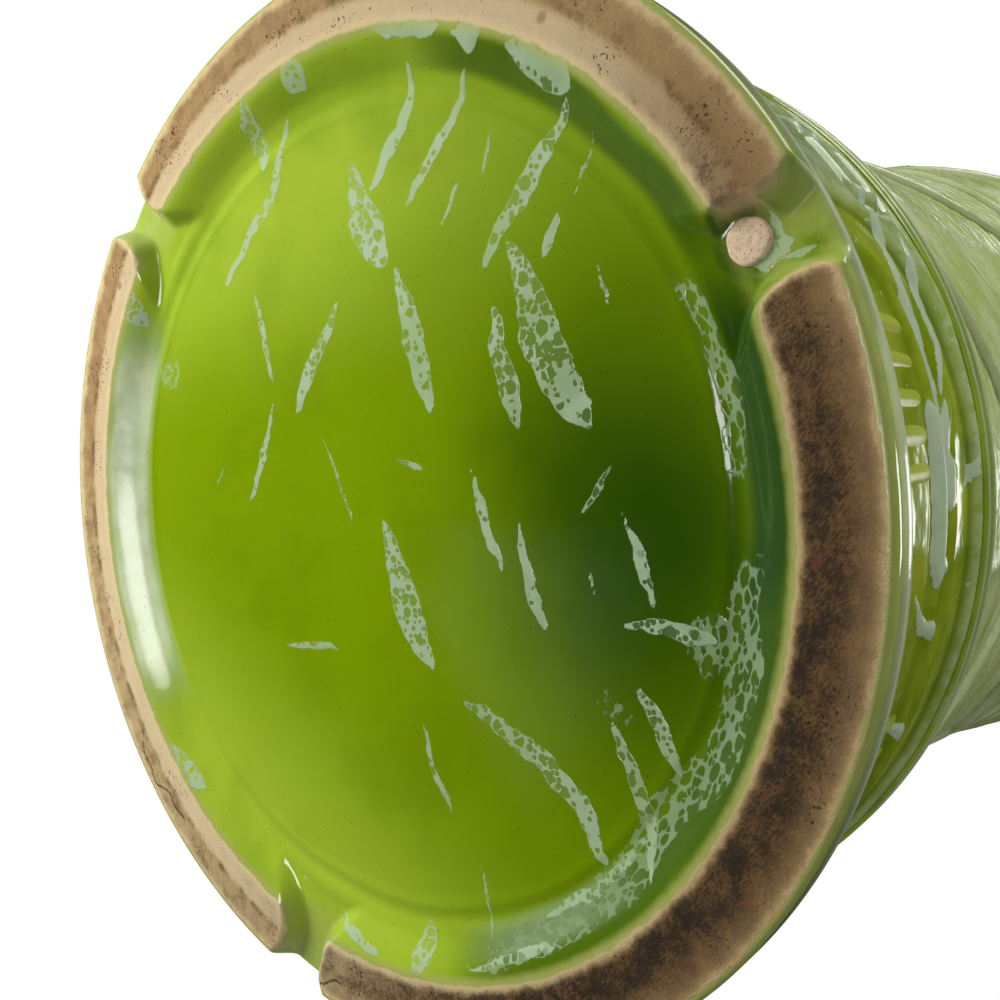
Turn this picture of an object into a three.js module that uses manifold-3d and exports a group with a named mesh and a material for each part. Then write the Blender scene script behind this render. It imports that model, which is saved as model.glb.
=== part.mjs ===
// A hollow ceramic vase on a low pedestal, in millimetres, with +Z up.
// The origin is the centre of the foot, on the surface that the vase stands on.
// The body hangs in tiers of leaves above a pedestal band of long panels, and the underside is recessed.

import * as THREE from 'three';
import { mergeVertices } from 'three/addons/utils/BufferGeometryUtils.js';
import Module from 'manifold-3d';

const wasm = await Module();
wasm.setup();

// Overall sizes
const HEIGHT = 220;
const FOOT_DIAMETER = 100;
const WAIST_DIAMETER = 96.2;
const STEM_DIAMETER = 94.6;
const STEM_HEIGHT = 66;
const SWELL_DIAMETER = 102;
const SWELL_HEIGHT = 108;
const BELLY_DIAMETER = 115;
const BELLY_BELOW_RIM = 60;
const NECK_DIAMETER = 84;
const NECK_BELOW_RIM = 25;
const MOUTH_DIAMETER = 97;
const WALL = 6;
const SEAM_GAP = 0.3;

// Foot and recessed underside
const FOOT_RING_WIDTH = 6.5;
const RECESS_DEPTH = 2.5;
const COVE_WIDTH = 6;
const COVE_SHARE = 0.6;
const COVE_STEPS = 4;
const FOOT_EDGE = 0.5;
const NOTCH_WIDTH = 6.6;
const NOTCH_DEGREES = [20, 140.6, 251.8];
const PLINTH_HEIGHT = 1.3;
const PLINTH_STEP = 1.1;
const FLANGE_THICKNESS = 2.5;
const BASE_THICKNESS = 5.5;

// Bare disc where a kiln support stood, close to one side of the last notch
const SCAR_DIAMETER = 3.4;
const SCAR_THICKNESS = 0.6;
const SCAR_FROM_FOOT_EDGE = 5.8;
const SCAR_STEPS = 20;

// Pedestal relief
const PEDESTAL_TOP = 29.5;
const PEDESTAL_PINCH = 0.3;
const RELIEF_DEPTH = 1.2;
const MOTIFS = 4;
const FIRST_MOTIF_DEGREES = 285;
const WINDOW_SPAN_DEGREES = 80;
const WINDOW_TOP_MARGIN = 1.2;
const GROOVE_AT_ENDS_DEGREES = 5;
const PANEL_HEIGHT = 13.2;
const ROUNDNESS = 4;
const ROUND_END_SHARES = [1, 0.98, 0.93, 0.86];
const STRAIGHT_SHARE = 0.74;
const LADDER_SLOTS = 4;
const LADDER_PITCH_DEGREES = 3.1;
const LADDER_START_DEGREES = 17;
const LADDER_SLOT_WIDTH = 1.4;
const LADDER_SLOT_HEIGHT = 8;
const LADDER_SLOT_BASE = 2.2;
const SQUARE_SIDE = 5;
const SQUARE_BELOW_TOP = 8;

// Ring between the pedestal and the body
const RING_HEIGHT = 2.6;
const RING_PROUD = 0.4;
const RING_EDGE = 0.35;

// Hanging leaves on the body
const LEAF_TIERS = 5;
const LEAF_THICKNESS = 1.2;
const FIRST_TIP_ABOVE_RING = 1.4;
const LEAVES_END_BELOW_RIM = 53;
const SCALLOP_SHARE = 0.7;
const SCALLOP_CURVE = 1.3;
const LEAF_GAP = 0.4;

// Body seam and lip
const BODY_SEAM_BELOW_BELLY = 50;
const LIP_HEIGHT = 8;
const LIP_PROUD = 1.2;

// Facets: steps round the axis, and the most that a row may rise
const SEGMENTS = 48;
const OUTER_ROW = 10;
const INNER_ROW = 20;
const LEAF_ROW = 12;
const NECK_ROW = 5;
const PEDESTAL_ROW = 4;
const RELIEF_ROWS = 3;
const RELIEF_COLUMN_DEGREES = 6;
const CUTTER_LENGTH = 20;

const footRadius = FOOT_DIAMETER / 2;
const recessRadius = footRadius - FOOT_RING_WIDTH;
const plinthRadius = footRadius - PLINTH_STEP;
const plinthTop = RECESS_DEPTH + PLINTH_HEIGHT;
const flangeTop = RECESS_DEPTH + FLANGE_THICKNESS;
const innerFloor = RECESS_DEPTH + BASE_THICKNESS;
const waistRadius = WAIST_DIAMETER / 2;
const ringTop = PEDESTAL_TOP + RING_HEIGHT;
const bellyHeight = HEIGHT - BELLY_BELOW_RIM;
const neckHeight = HEIGHT - NECK_BELOW_RIM;
const leafTop = HEIGHT - LEAVES_END_BELOW_RIM;
const bodySeam = bellyHeight - BODY_SEAM_BELOW_BELLY;
const lipBase = HEIGHT - LIP_HEIGHT;
const motifDegrees = 360 / MOTIFS;

const bareClay = { color: 0xc4a680, roughness: 0.9, metalness: 0 };
const scarClay = { color: 0xd6ba98, roughness: 0.95, metalness: 0 };
const limeGlaze = { color: 0x8aaa10, roughness: 0.15, metalness: 0 };
const oliveGlaze = { color: 0x6f8a14, roughness: 0.15, metalness: 0 };
const celadonGlaze = { color: 0xafc396, roughness: 0.2, metalness: 0 };

const vase = new THREE.Group();

function addPiece(name, geometry, finish) {
  const mesh = new THREE.Mesh(geometry, new THREE.MeshStandardMaterial(finish));
  mesh.name = name;
  vase.add(mesh);
}

// A smooth curve of radius against height through [height, radius] stations
function smoothProfile(stations) {
  const slopes = stations.map((_, i) => {
    const [z0, r0] = stations[Math.max(i - 1, 0)];
    const [z1, r1] = stations[Math.min(i + 1, stations.length - 1)];
    return (r1 - r0) / (z1 - z0);
  });
  return (z) => {
    const passed = stations.filter(([height]) => height <= z).length;
    const k = Math.min(Math.max(passed - 1, 0), stations.length - 2);
    const [z0, r0] = stations[k];
    const [z1, r1] = stations[k + 1];
    const t = (z - z0) / (z1 - z0);
    const blend = t * t * (3 - 2 * t);
    const leaving = t * (1 - t) ** 2 * (z1 - z0) * slopes[k];
    const arriving = t ** 2 * (t - 1) * (z1 - z0) * slopes[k + 1];
    return r0 + (r1 - r0) * blend + leaving + arriving;
  };
}

// The body draws in a little over the ring, and flares from there to its belly
const bodySurface = smoothProfile([
  [ringTop, waistRadius],
  [STEM_HEIGHT, STEM_DIAMETER / 2],
  [SWELL_HEIGHT, SWELL_DIAMETER / 2],
  [bellyHeight, BELLY_DIAMETER / 2],
  [neckHeight, NECK_DIAMETER / 2],
  [HEIGHT, MOUTH_DIAMETER / 2],
]);

// The pedestal is drawn in a little at half its height
function pedestalSurface(z) {
  const t = (z - flangeTop) / (PEDESTAL_TOP - flangeTop);
  return plinthRadius + t * (waistRadius - plinthRadius) - PEDESTAL_PINCH * Math.sin(Math.PI * t);
}

const bodyInside = (z) => bodySurface(z) - WALL;
const pedestalInside = (z) => pedestalSurface(z) - WALL;

// How far a leaf's straight rows cut in behind the curve of the body, at the most
function leafChordDepth() {
  let deepest = 0;
  for (let z = ringTop + LEAF_ROW / 2; z < leafTop; z += 1) {
    const chord = (bodySurface(z - LEAF_ROW / 2) + bodySurface(z + LEAF_ROW / 2)) / 2;
    deepest = Math.max(deepest, bodySurface(z) - chord);
  }
  return deepest;
}

const behindLeaves = LEAF_THICKNESS + SEAM_GAP + leafChordDepth();
const behindRelief = RELIEF_DEPTH + SEAM_GAP;

function lathe(pairs) {
  const points = pairs.map(([radius, z]) => new THREE.Vector2(radius, z));
  return new THREE.LatheGeometry(points, SEGMENTS).rotateX(Math.PI / 2);
}

// Points up a wall from low to high, in rows no higher than the one given, on one radius curve
function wallLine(low, high, row, radiusAt) {
  const steps = Math.ceil((high - low) / row);
  return Array.from({ length: steps + 1 }, (_, i) => {
    const z = low + ((high - low) * i) / steps;
    return [radiusAt(z), z];
  });
}

// A ring of revolution between an outer line and an inner one, both given from the bottom up
function ringOf(outerLine, innerLine) {
  return lathe([...outerLine, ...innerLine.slice().reverse(), outerLine[0]]);
}

// A curved sheet round the axis: its lower and upper edges are functions of the angle, its two faces of the height.
// It closes into a ring when the last angle meets the first again.
function curvedSheet({ angles, closed, low, high, rows, outer, inner }) {
  const positions = [];
  const index = [];
  for (const degrees of angles) {
    const angle = THREE.MathUtils.degToRad(degrees);
    for (let i = 0; i <= rows; i += 1) {
      const z = low(degrees) + ((high(degrees) - low(degrees)) * i) / rows;
      for (const radius of [outer(z), inner(z)]) {
        positions.push(radius * Math.cos(angle), radius * Math.sin(angle), z);
      }
    }
  }
  const outerAt = (column, row) => 2 * ((column % angles.length) * (rows + 1) + row);
  const innerAt = (column, row) => outerAt(column, row) + 1;
  const quad = (a, b, c, d) => index.push(a, b, c, a, c, d);
  const columns = closed ? angles.length : angles.length - 1;
  for (let j = 0; j < columns; j += 1) {
    for (let i = 0; i < rows; i += 1) {
      quad(outerAt(j, i), outerAt(j + 1, i), outerAt(j + 1, i + 1), outerAt(j, i + 1));
      quad(innerAt(j, i), innerAt(j, i + 1), innerAt(j + 1, i + 1), innerAt(j + 1, i));
    }
    quad(outerAt(j, rows), outerAt(j + 1, rows), innerAt(j + 1, rows), innerAt(j, rows));
    quad(outerAt(j, 0), innerAt(j, 0), innerAt(j + 1, 0), outerAt(j + 1, 0));
  }
  if (!closed) {
    const end = angles.length - 1;
    for (let i = 0; i < rows; i += 1) {
      quad(outerAt(0, i), outerAt(0, i + 1), innerAt(0, i + 1), innerAt(0, i));
      quad(outerAt(end, i), innerAt(end, i), innerAt(end, i + 1), outerAt(end, i + 1));
    }
  }
  const geometry = new THREE.BufferGeometry();
  geometry.setAttribute('position', new THREE.Float32BufferAttribute(positions, 3));
  geometry.setIndex(index);
  return geometry;
}

function toSolid(geometry) {
  const bare = geometry.clone();
  bare.deleteAttribute('normal');
  bare.deleteAttribute('uv');
  const merged = mergeVertices(bare);
  return new wasm.Manifold(new wasm.Mesh({
    numProp: 3,
    vertProperties: new Float32Array(merged.attributes.position.array),
    triVerts: new Uint32Array(merged.index.array),
  }));
}

function toGeometry(solid) {
  const mesh = solid.getMesh();
  const geometry = new THREE.BufferGeometry();
  geometry.setAttribute('position', new THREE.BufferAttribute(new Float32Array(mesh.vertProperties), 3));
  geometry.setIndex(new THREE.BufferAttribute(new Uint32Array(mesh.triVerts), 1));
  return geometry;
}

// A box that cuts through a wall, pointing at the axis
function radialCutter({ degrees, fromAxis, length, width, height, z }) {
  const box = new THREE.BoxGeometry(length, width, height);
  box.translate(fromAxis, 0, z);
  box.rotateZ(THREE.MathUtils.degToRad(degrees));
  return toSolid(box);
}

// Cross-section of the standing ring, with a cove on the inside
function footSection() {
  const cove = Array.from({ length: COVE_STEPS }, (_, i) => {
    const rise = 1 - (COVE_SHARE * i) / (COVE_STEPS - 1);
    return [recessRadius - COVE_WIDTH * (1 - rise), RECESS_DEPTH * Math.sqrt(1 - rise * rise)];
  }).reverse();
  const coveTop = [cove[0][0], RECESS_DEPTH];
  const outside = [
    [footRadius - FOOT_EDGE, 0],
    [footRadius, FOOT_EDGE],
    [footRadius, RECESS_DEPTH],
  ];
  return [...cove, ...outside, coveTop, cove[0]];
}

// The part of the plan between two bearings from the axis, wide enough for the whole foot
function wedgePrism(from, to) {
  const corner = (degrees) => {
    const angle = THREE.MathUtils.degToRad(degrees);
    return new THREE.Vector2(FOOT_DIAMETER * Math.cos(angle), FOOT_DIAMETER * Math.sin(angle));
  };
  const plan = new THREE.Shape([new THREE.Vector2(0, 0), corner(from), corner((from + to) / 2), corner(to)]);
  const prism = new THREE.ExtrudeGeometry(plan, { depth: HEIGHT, bevelEnabled: false });
  return toSolid(prism.translate(0, 0, -RECESS_DEPTH));
}

// One ring, cut at the notches and parted along their middles
function addFeet() {
  let ring = toSolid(lathe(footSection()));
  for (const degrees of NOTCH_DEGREES) {
    ring = ring.subtract(radialCutter({
      degrees, fromAxis: footRadius, length: FOOT_DIAMETER, width: NOTCH_WIDTH, height: HEIGHT, z: 0,
    }));
  }
  NOTCH_DEGREES.forEach((from, i) => {
    const next = NOTCH_DEGREES[(i + 1) % NOTCH_DEGREES.length];
    const to = next > from ? next : next + 360;
    addPiece(`foot_${i + 1}`, toGeometry(ring.intersect(wedgePrism(from, to))), bareClay);
  });
}

function addBase() {
  const bossRadius = Math.min(pedestalInside(flangeTop), pedestalInside(innerFloor)) - SEAM_GAP;
  addPiece('base_slab', lathe([
    [0, RECESS_DEPTH],
    [footRadius, RECESS_DEPTH],
    [footRadius, plinthTop],
    [plinthRadius, flangeTop],
    [bossRadius, flangeTop],
    [bossRadius, innerFloor],
    [0, innerFloor],
  ]), limeGlaze);
}

function addStiltScar() {
  const aside = (NOTCH_WIDTH - SCAR_DIAMETER) / 2 - SEAM_GAP;
  const scar = new THREE.CylinderGeometry(SCAR_DIAMETER / 2, SCAR_DIAMETER / 2, SCAR_THICKNESS, SCAR_STEPS);
  scar.rotateX(Math.PI / 2);
  scar.translate(footRadius - SCAR_FROM_FOOT_EDGE, -aside, RECESS_DEPTH - SCAR_THICKNESS / 2);
  scar.rotateZ(THREE.MathUtils.degToRad(NOTCH_DEGREES[NOTCH_DEGREES.length - 1]));
  addPiece('stilt_scar', scar, scarClay);
}

// Height of a long round-ended outline above its straight base, at a share of its half-span from the middle
function outlineHeight(share, height) {
  const inside = 1 - Math.min(Math.abs(share), 1) ** ROUNDNESS;
  return height * inside ** (1 / ROUNDNESS);
}

// Shares of a half-span, closer together towards the round ends
function outlineShares(halfSpan) {
  const columns = Math.ceil((2 * STRAIGHT_SHARE * halfSpan) / RELIEF_COLUMN_DEGREES);
  const straight = Array.from({ length: columns + 1 }, (_, i) => STRAIGHT_SHARE * ((2 * i) / columns - 1));
  return [...ROUND_END_SHARES.map((share) => -share), ...straight, ...ROUND_END_SHARES.slice().reverse()];
}

// Both faces of the relief follow the pedestal
function reliefSheet({ angles, closed, low, high }) {
  return toSolid(curvedSheet({
    angles,
    closed,
    low,
    high,
    rows: RELIEF_ROWS,
    outer: pedestalSurface,
    inner: (z) => pedestalSurface(z) - RELIEF_DEPTH,
  }));
}

function reliefCutter(degrees, width, height, z) {
  return radialCutter({ degrees, fromAxis: pedestalSurface(z), length: CUTTER_LENGTH, width, height, z });
}

// Raised ground of the pedestal: a top rail with the fields between the windows, each with a square hole
function addReliefBand() {
  const halfSpan = WINDOW_SPAN_DEGREES / 2;
  const windowHeight = PEDESTAL_TOP - WINDOW_TOP_MARGIN - flangeTop;
  const shares = outlineShares(halfSpan);
  const angles = [];
  for (let k = 0; k < MOTIFS; k += 1) {
    const middle = FIRST_MOTIF_DEGREES + k * motifDegrees;
    angles.push(...shares.map((share) => middle + share * halfSpan), middle + motifDegrees / 2);
  }
  const low = (degrees) => {
    const turns = (degrees - FIRST_MOTIF_DEGREES) / motifDegrees;
    const share = ((turns - Math.round(turns)) * motifDegrees) / halfSpan;
    return flangeTop + outlineHeight(share, windowHeight);
  };
  let band = reliefSheet({ angles, closed: true, low, high: () => PEDESTAL_TOP });
  for (let k = 0; k < MOTIFS; k += 1) {
    const degrees = FIRST_MOTIF_DEGREES + (k + 0.5) * motifDegrees;
    band = band.subtract(reliefCutter(degrees, SQUARE_SIDE, SQUARE_SIDE, PEDESTAL_TOP - SQUARE_BELOW_TOP));
  }
  addPiece('relief_band', toGeometry(band), celadonGlaze);
}

// A raised panel inside each window, with a ladder of slots towards both ends
function addPanel(k) {
  const middle = FIRST_MOTIF_DEGREES + k * motifDegrees;
  const halfSpan = WINDOW_SPAN_DEGREES / 2 - GROOVE_AT_ENDS_DEGREES;
  const slotMiddle = flangeTop + LADDER_SLOT_BASE + LADDER_SLOT_HEIGHT / 2;
  let panel = reliefSheet({
    angles: outlineShares(halfSpan).slice(1, -1).map((share) => middle + share * halfSpan),
    closed: false,
    low: () => flangeTop,
    high: (degrees) => flangeTop + outlineHeight((degrees - middle) / halfSpan, PANEL_HEIGHT),
  });
  for (const side of [-1, 1]) {
    for (let i = 0; i < LADDER_SLOTS; i += 1) {
      const degrees = middle + side * (LADDER_START_DEGREES + i * LADDER_PITCH_DEGREES);
      panel = panel.subtract(reliefCutter(degrees, LADDER_SLOT_WIDTH, LADDER_SLOT_HEIGHT, slotMiddle));
    }
  }
  addPiece(`panel_${k + 1}`, toGeometry(panel), oliveGlaze);
}

function addPedestal() {
  const outerLine = wallLine(flangeTop, PEDESTAL_TOP, PEDESTAL_ROW, (z) => pedestalSurface(z) - behindRelief);
  const innerLine = wallLine(flangeTop, PEDESTAL_TOP, INNER_ROW, pedestalInside);
  addPiece('pedestal_wall', ringOf(outerLine, innerLine), limeGlaze);
  addReliefBand();
  for (let k = 0; k < MOTIFS; k += 1) {
    addPanel(k);
  }
}

// The ring carries two thin edges with a shallow hollow between them
function addWaistRing() {
  const middle = (PEDESTAL_TOP + ringTop) / 2;
  const outerLine = [
    [waistRadius, PEDESTAL_TOP],
    [waistRadius + RING_PROUD, PEDESTAL_TOP + RING_EDGE],
    [waistRadius + RING_PROUD / 2, middle],
    [waistRadius + RING_PROUD, ringTop - RING_EDGE],
    [waistRadius, ringTop],
  ];
  const innerLine = wallLine(PEDESTAL_TOP, ringTop, INNER_ROW, () => waistRadius - WALL);
  addPiece('waist_ring', ringOf(outerLine, innerLine), celadonGlaze);
}

// The wall is set back behind the leaves, and comes out to the surface above them
function addBody() {
  const setBack = (z) => bodySurface(z) - behindLeaves;
  const bodyOutside = wallLine(ringTop, bodySeam, OUTER_ROW, setBack);
  addPiece('body_wall', ringOf(bodyOutside, wallLine(ringTop, bodySeam, INNER_ROW, bodyInside)), celadonGlaze);
  const shoulderOutside = [
    ...wallLine(bodySeam, leafTop, OUTER_ROW, setBack),
    ...wallLine(leafTop, neckHeight, OUTER_ROW, bodySurface),
  ];
  const shoulderInside = wallLine(bodySeam, neckHeight, INNER_ROW, bodyInside);
  addPiece('shoulder_wall', ringOf(shoulderOutside, shoulderInside), celadonGlaze);
}

// Tier 1 fills the hollows under the lowest tips, and each tier above hangs between the tips of the one below it
function addLeafTiers() {
  const firstTip = ringTop + FIRST_TIP_ABOVE_RING;
  const pitch = (leafTop - firstTip) / (LEAF_TIERS - 1);
  const edgeOf = (tier) => (degrees) => {
    const turns = (degrees - FIRST_MOTIF_DEGREES) / motifDegrees + tier / 2;
    const share = 2 * Math.abs(turns - Math.round(turns));
    return firstTip + pitch * (tier - 1 + SCALLOP_SHARE * share ** SCALLOP_CURVE);
  };
  const angles = Array.from({ length: SEGMENTS }, (_, j) => (360 * j) / SEGMENTS);
  for (let tier = 0; tier < LEAF_TIERS; tier += 1) {
    const nextEdge = edgeOf(tier + 1);
    const low = tier === 0 ? () => ringTop : edgeOf(tier);
    const high = tier === LEAF_TIERS - 1 ? () => leafTop : (degrees) => nextEdge(degrees) - LEAF_GAP;
    const tallest = Math.max(...angles.map((degrees) => high(degrees) - low(degrees)));
    addPiece(`leaf_tier_${tier + 1}`, curvedSheet({
      angles,
      closed: true,
      low,
      high,
      rows: Math.ceil(tallest / LEAF_ROW),
      outer: bodySurface,
      inner: (z) => bodySurface(z) - LEAF_THICKNESS,
    }), celadonGlaze);
  }
}

function addNeck() {
  const outerLine = wallLine(neckHeight, lipBase, NECK_ROW, bodySurface);
  addPiece('neck_wall', ringOf(outerLine, wallLine(neckHeight, lipBase, INNER_ROW, bodyInside)), celadonGlaze);
}

// The mouth is rolled outwards
function addLip() {
  const middle = (lipBase + HEIGHT) / 2;
  const roll = LIP_PROUD / Math.SQRT2;
  const outerLine = [
    [bodySurface(lipBase), lipBase],
    [bodySurface(middle) + roll, (lipBase + middle) / 2],
    [bodySurface(HEIGHT) + LIP_PROUD, middle],
    [bodySurface(HEIGHT) + roll, (middle + HEIGHT) / 2],
    [bodySurface(HEIGHT) - LIP_PROUD, HEIGHT],
  ];
  const innerLine = [
    [bodyInside(lipBase), lipBase],
    [bodyInside(middle), middle],
    [bodyInside(HEIGHT) + LIP_PROUD, HEIGHT],
  ];
  addPiece('rim_lip', ringOf(outerLine, innerLine), celadonGlaze);
}

addFeet();
addBase();
addStiltScar();
addPedestal();
addWaistRing();
addBody();
addLeafTiers();
addNeck();
addLip();

export default vase;
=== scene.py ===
# A glazed ceramic vase, seen from under its foot.
# Lengths are in millimetres until a piece is made, and each finished piece is in metres.
# Bearings are in degrees round +Z from +X. Down, towards the viewer of the underside, is -Z.

import itertools
import math

import bmesh
import bpy
import numpy as np
from mathutils import Matrix, Vector


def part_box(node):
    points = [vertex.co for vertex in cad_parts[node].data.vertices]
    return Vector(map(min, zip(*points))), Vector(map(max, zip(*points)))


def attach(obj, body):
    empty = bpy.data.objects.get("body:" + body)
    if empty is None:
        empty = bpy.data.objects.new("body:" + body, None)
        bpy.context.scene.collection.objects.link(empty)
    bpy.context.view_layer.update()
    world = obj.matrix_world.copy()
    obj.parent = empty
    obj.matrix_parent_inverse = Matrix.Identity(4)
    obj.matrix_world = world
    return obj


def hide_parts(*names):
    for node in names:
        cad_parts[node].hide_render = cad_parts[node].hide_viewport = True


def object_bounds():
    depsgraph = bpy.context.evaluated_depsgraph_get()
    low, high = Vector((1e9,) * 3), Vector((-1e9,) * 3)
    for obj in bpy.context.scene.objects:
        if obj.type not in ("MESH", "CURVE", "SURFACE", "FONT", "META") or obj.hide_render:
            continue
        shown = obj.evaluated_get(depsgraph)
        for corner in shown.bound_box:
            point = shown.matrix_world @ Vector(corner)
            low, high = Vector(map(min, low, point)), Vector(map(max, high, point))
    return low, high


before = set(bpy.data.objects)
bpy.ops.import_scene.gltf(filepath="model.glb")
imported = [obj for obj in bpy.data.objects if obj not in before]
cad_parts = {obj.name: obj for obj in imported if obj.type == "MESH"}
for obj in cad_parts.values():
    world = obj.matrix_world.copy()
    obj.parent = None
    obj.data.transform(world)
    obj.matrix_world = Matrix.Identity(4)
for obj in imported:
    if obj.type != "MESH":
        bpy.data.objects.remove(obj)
cad_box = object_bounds()
bpy.context.scene.view_settings.view_transform = "Standard"

MM = 0.001
SHARP_EDGE = math.radians(50)
COLUMNS_PER_DEGREE = 3.2


def limits(node):
    low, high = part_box(node)
    return np.array(low) / MM, np.array(high) / MM


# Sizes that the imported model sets
FOOT_RADIUS = limits("base_slab")[1][0]
FLOOR_LEVEL = limits("base_slab")[0][2]
INNER_FLOOR = limits("base_slab")[1][2]
WAIST_LOW = limits("waist_ring")[0][2]
WAIST_TOP = limits("waist_ring")[1][2]
BODY_SEAM = limits("body_wall")[1][2]
LEAF_TOP = limits("leaf_tier_5")[1][2]
NECK_LEVEL = limits("neck_wall")[0][2]
LIP_BASE = limits("rim_lip")[0][2]
HEIGHT = cad_box[1][2] / MM

# Body profile
WAIST_RADIUS = 48.1
STEM_RADIUS = 47.3
STEM_HEIGHT = 66
SWELL_RADIUS = 51
SWELL_HEIGHT = 108
BELLY_RADIUS = 57.5
BELLY_BELOW_RIM = 60
NECK_RADIUS = 42
MOUTH_RADIUS = 48.5
WALL = 6

# Foot and underside
BARE_INNER = 43.5
BARE_OUTER = 49.5
BARE_ROUNDING = 0.9
# Bearing of the darker brown clay: partly real staining, partly painted shade on the side away from the
# light.
STAIN_AND_SHADE_BEARING = -52
FOOT_CORNER = 0.5
FOOT_INNER = 37.0
FLOOR_REACH = 38.2
COVE_START = 38.4
RIDGE_RADII = (37.4, 39.4)
RIDGE_HEIGHT = 0.11
NOTCH_BEARINGS = (20, 140.6, 251.8)
NOTCH_HALF_WIDTH = 3.3
NOTCH_FLARE = 0.9
NOTCH_THROAT = 46.4
NOTCH_SHOULDER = 1.7
NOTCH_LEVEL = 2.25
PLINTH_STEP = 1.1

# Scar that a kiln support left in the third notch
SCAR_RADIUS = 1.7
SCAR_FROM_AXIS = 44.2
SCAR_BEARING = 250.1
SCAR_LEVEL = 1.9
SCAR_DISH_LEVEL = 2.3

# Pedestal relief
PEDESTAL_BASE = 5
PEDESTAL_PINCH = 0.3
RELIEF_DEPTH = 1.2
MOTIFS = 4
MOTIF = 360 / MOTIFS
FIRST_MOTIF = 285
WINDOW_HALF_SPAN = 40
WINDOW_HEIGHT = WAIST_LOW - 1.2 - PEDESTAL_BASE
PANEL_HALF_SPAN = 35
PANEL_HEIGHT = 13.2
ROUNDNESS = 4
PANEL_RIB = 1.3
BARS = 5
BAR_PITCH = 3.4
BAR_START = 12
BAR_MIDDLE = PEDESTAL_BASE + 7.0
BAR_HALF_HEIGHT = 5.6
BAR_HALF_WIDTH = 1.45
SQUARE_HALF = 3.2
SQUARE_LEVEL = WAIST_LOW - 6.6

# Hanging leaves
LEAF_TIERS = 5
FIRST_TIP = WAIST_TOP + 1.4
TIER_PITCH = (LEAF_TOP - FIRST_TIP) / (LEAF_TIERS - 1)
SCALLOP_SHARE = 0.7
SCALLOP_CURVE = 1.3
LEAF_LIP = 0.8
LEAF_TUCK = 3
LEAF_SINK = 1.0
LEAF_BACKING = 2.4
COMB_PITCH = 2.7
COMB_HEIGHT = 0.2


# Number helpers
def smooth(value, low, high):
    t = np.clip((value - low) / (high - low), 0, 1)
    return t * t * (3 - 2 * t)


def bump(distance, width):
    return np.exp(-((distance / width) ** 2))


def lattice(x, y, z, seed):
    mixed = x * 374761393 + y * 668265263 + z * 2147483647 + seed * 1274126177
    mixed = (mixed ^ (mixed >> 13)) * 1274126177
    return ((mixed ^ (mixed >> 16)) & 0xFFFF) / 0xFFFF


def rough(points, size, seed):
    """Smooth noise from -1 to 1, with lumps about as large as size."""
    scaled = points / size
    cell = np.floor(scaled).astype(np.int64)
    part = scaled - cell
    part = part * part * (3 - 2 * part)
    total = np.zeros(points.shape[:-1])
    for corner in itertools.product((0, 1), repeat=3):
        weight = np.ones_like(total)
        for axis, side in enumerate(corner):
            weight = weight * (part[..., axis] if side else 1 - part[..., axis])
        at = [cell[..., axis] + side for axis, side in enumerate(corner)]
        total += weight * lattice(*at, seed)
    return 2 * total - 1


def profile_through(stations):
    """Radius against height on a smooth curve through (height, radius) stations."""
    heights = np.array([station[0] for station in stations], float)
    radii = np.array([station[1] for station in stations], float)
    before = np.maximum(np.arange(len(stations)) - 1, 0)
    after = np.minimum(np.arange(len(stations)) + 1, len(stations) - 1)
    slopes = (radii[after] - radii[before]) / (heights[after] - heights[before])

    def radius(z):
        z = np.asarray(z, float)
        k = np.clip(np.searchsorted(heights, z, side="right") - 1, 0, len(stations) - 2)
        step = heights[k + 1] - heights[k]
        t = (z - heights[k]) / step
        blend = t * t * (3 - 2 * t)
        leaving = t * (1 - t) ** 2 * step * slopes[k]
        arriving = t * t * (t - 1) * step * slopes[k + 1]
        return radii[k] + (radii[k + 1] - radii[k]) * blend + leaving + arriving

    return radius


body_radius = profile_through([
    (WAIST_TOP, WAIST_RADIUS),
    (STEM_HEIGHT, STEM_RADIUS),
    (SWELL_HEIGHT, SWELL_RADIUS),
    (HEIGHT - BELLY_BELOW_RIM, BELLY_RADIUS),
    (NECK_LEVEL, NECK_RADIUS),
    (HEIGHT, MOUTH_RADIUS),
])


def pedestal_radius(z):
    t = (z - PEDESTAL_BASE) / (WAIST_LOW - PEDESTAL_BASE)
    lowest = FOOT_RADIUS - PLINTH_STEP
    return lowest + t * (WAIST_RADIUS - lowest) - PEDESTAL_PINCH * np.sin(np.pi * np.clip(t, 0, 1))


def turned(radius, bearing, z):
    """Points from cylindrical measures."""
    angle = np.radians(bearing)
    radius, angle, z = np.broadcast_arrays(radius, angle, z)
    return np.stack([radius * np.cos(angle), radius * np.sin(angle), z], axis=-1)


def round_axis(points):
    """Radius and bearing of each point."""
    x, y = points[..., 0], points[..., 1]
    return np.hypot(x, y), np.degrees(np.arctan2(y, x))


def off_centre(bearing, middle):
    """Signed bearing from a middle, between -180 and 180."""
    return (np.asarray(bearing) - middle + 180) % 360 - 180


# Mesh builders
def new_mesh(name, points, faces, marks, finish):
    """A smooth mesh from points in millimetres, with one number at each point for every mark."""
    mesh = bpy.data.meshes.new(name)
    mesh.from_pydata((points * MM).tolist(), [], faces)
    for mark, amounts in marks.items():
        layer = mesh.attributes.new(mark, "FLOAT", "POINT")
        layer.data.foreach_set("value", np.asarray(amounts, dtype=np.float32).ravel())
    mesh.polygons.foreach_set("use_smooth", [True] * len(mesh.polygons))
    mesh.materials.append(finish)
    return mesh


def face_outwards(mesh):
    work = bmesh.new()
    work.from_mesh(mesh)
    bmesh.ops.recalc_face_normals(work, faces=work.faces)
    work.to_mesh(mesh)
    work.free()


def placed(name, data):
    thing = bpy.data.objects.new(name, data)
    bpy.context.scene.collection.objects.link(thing)
    return thing


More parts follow.
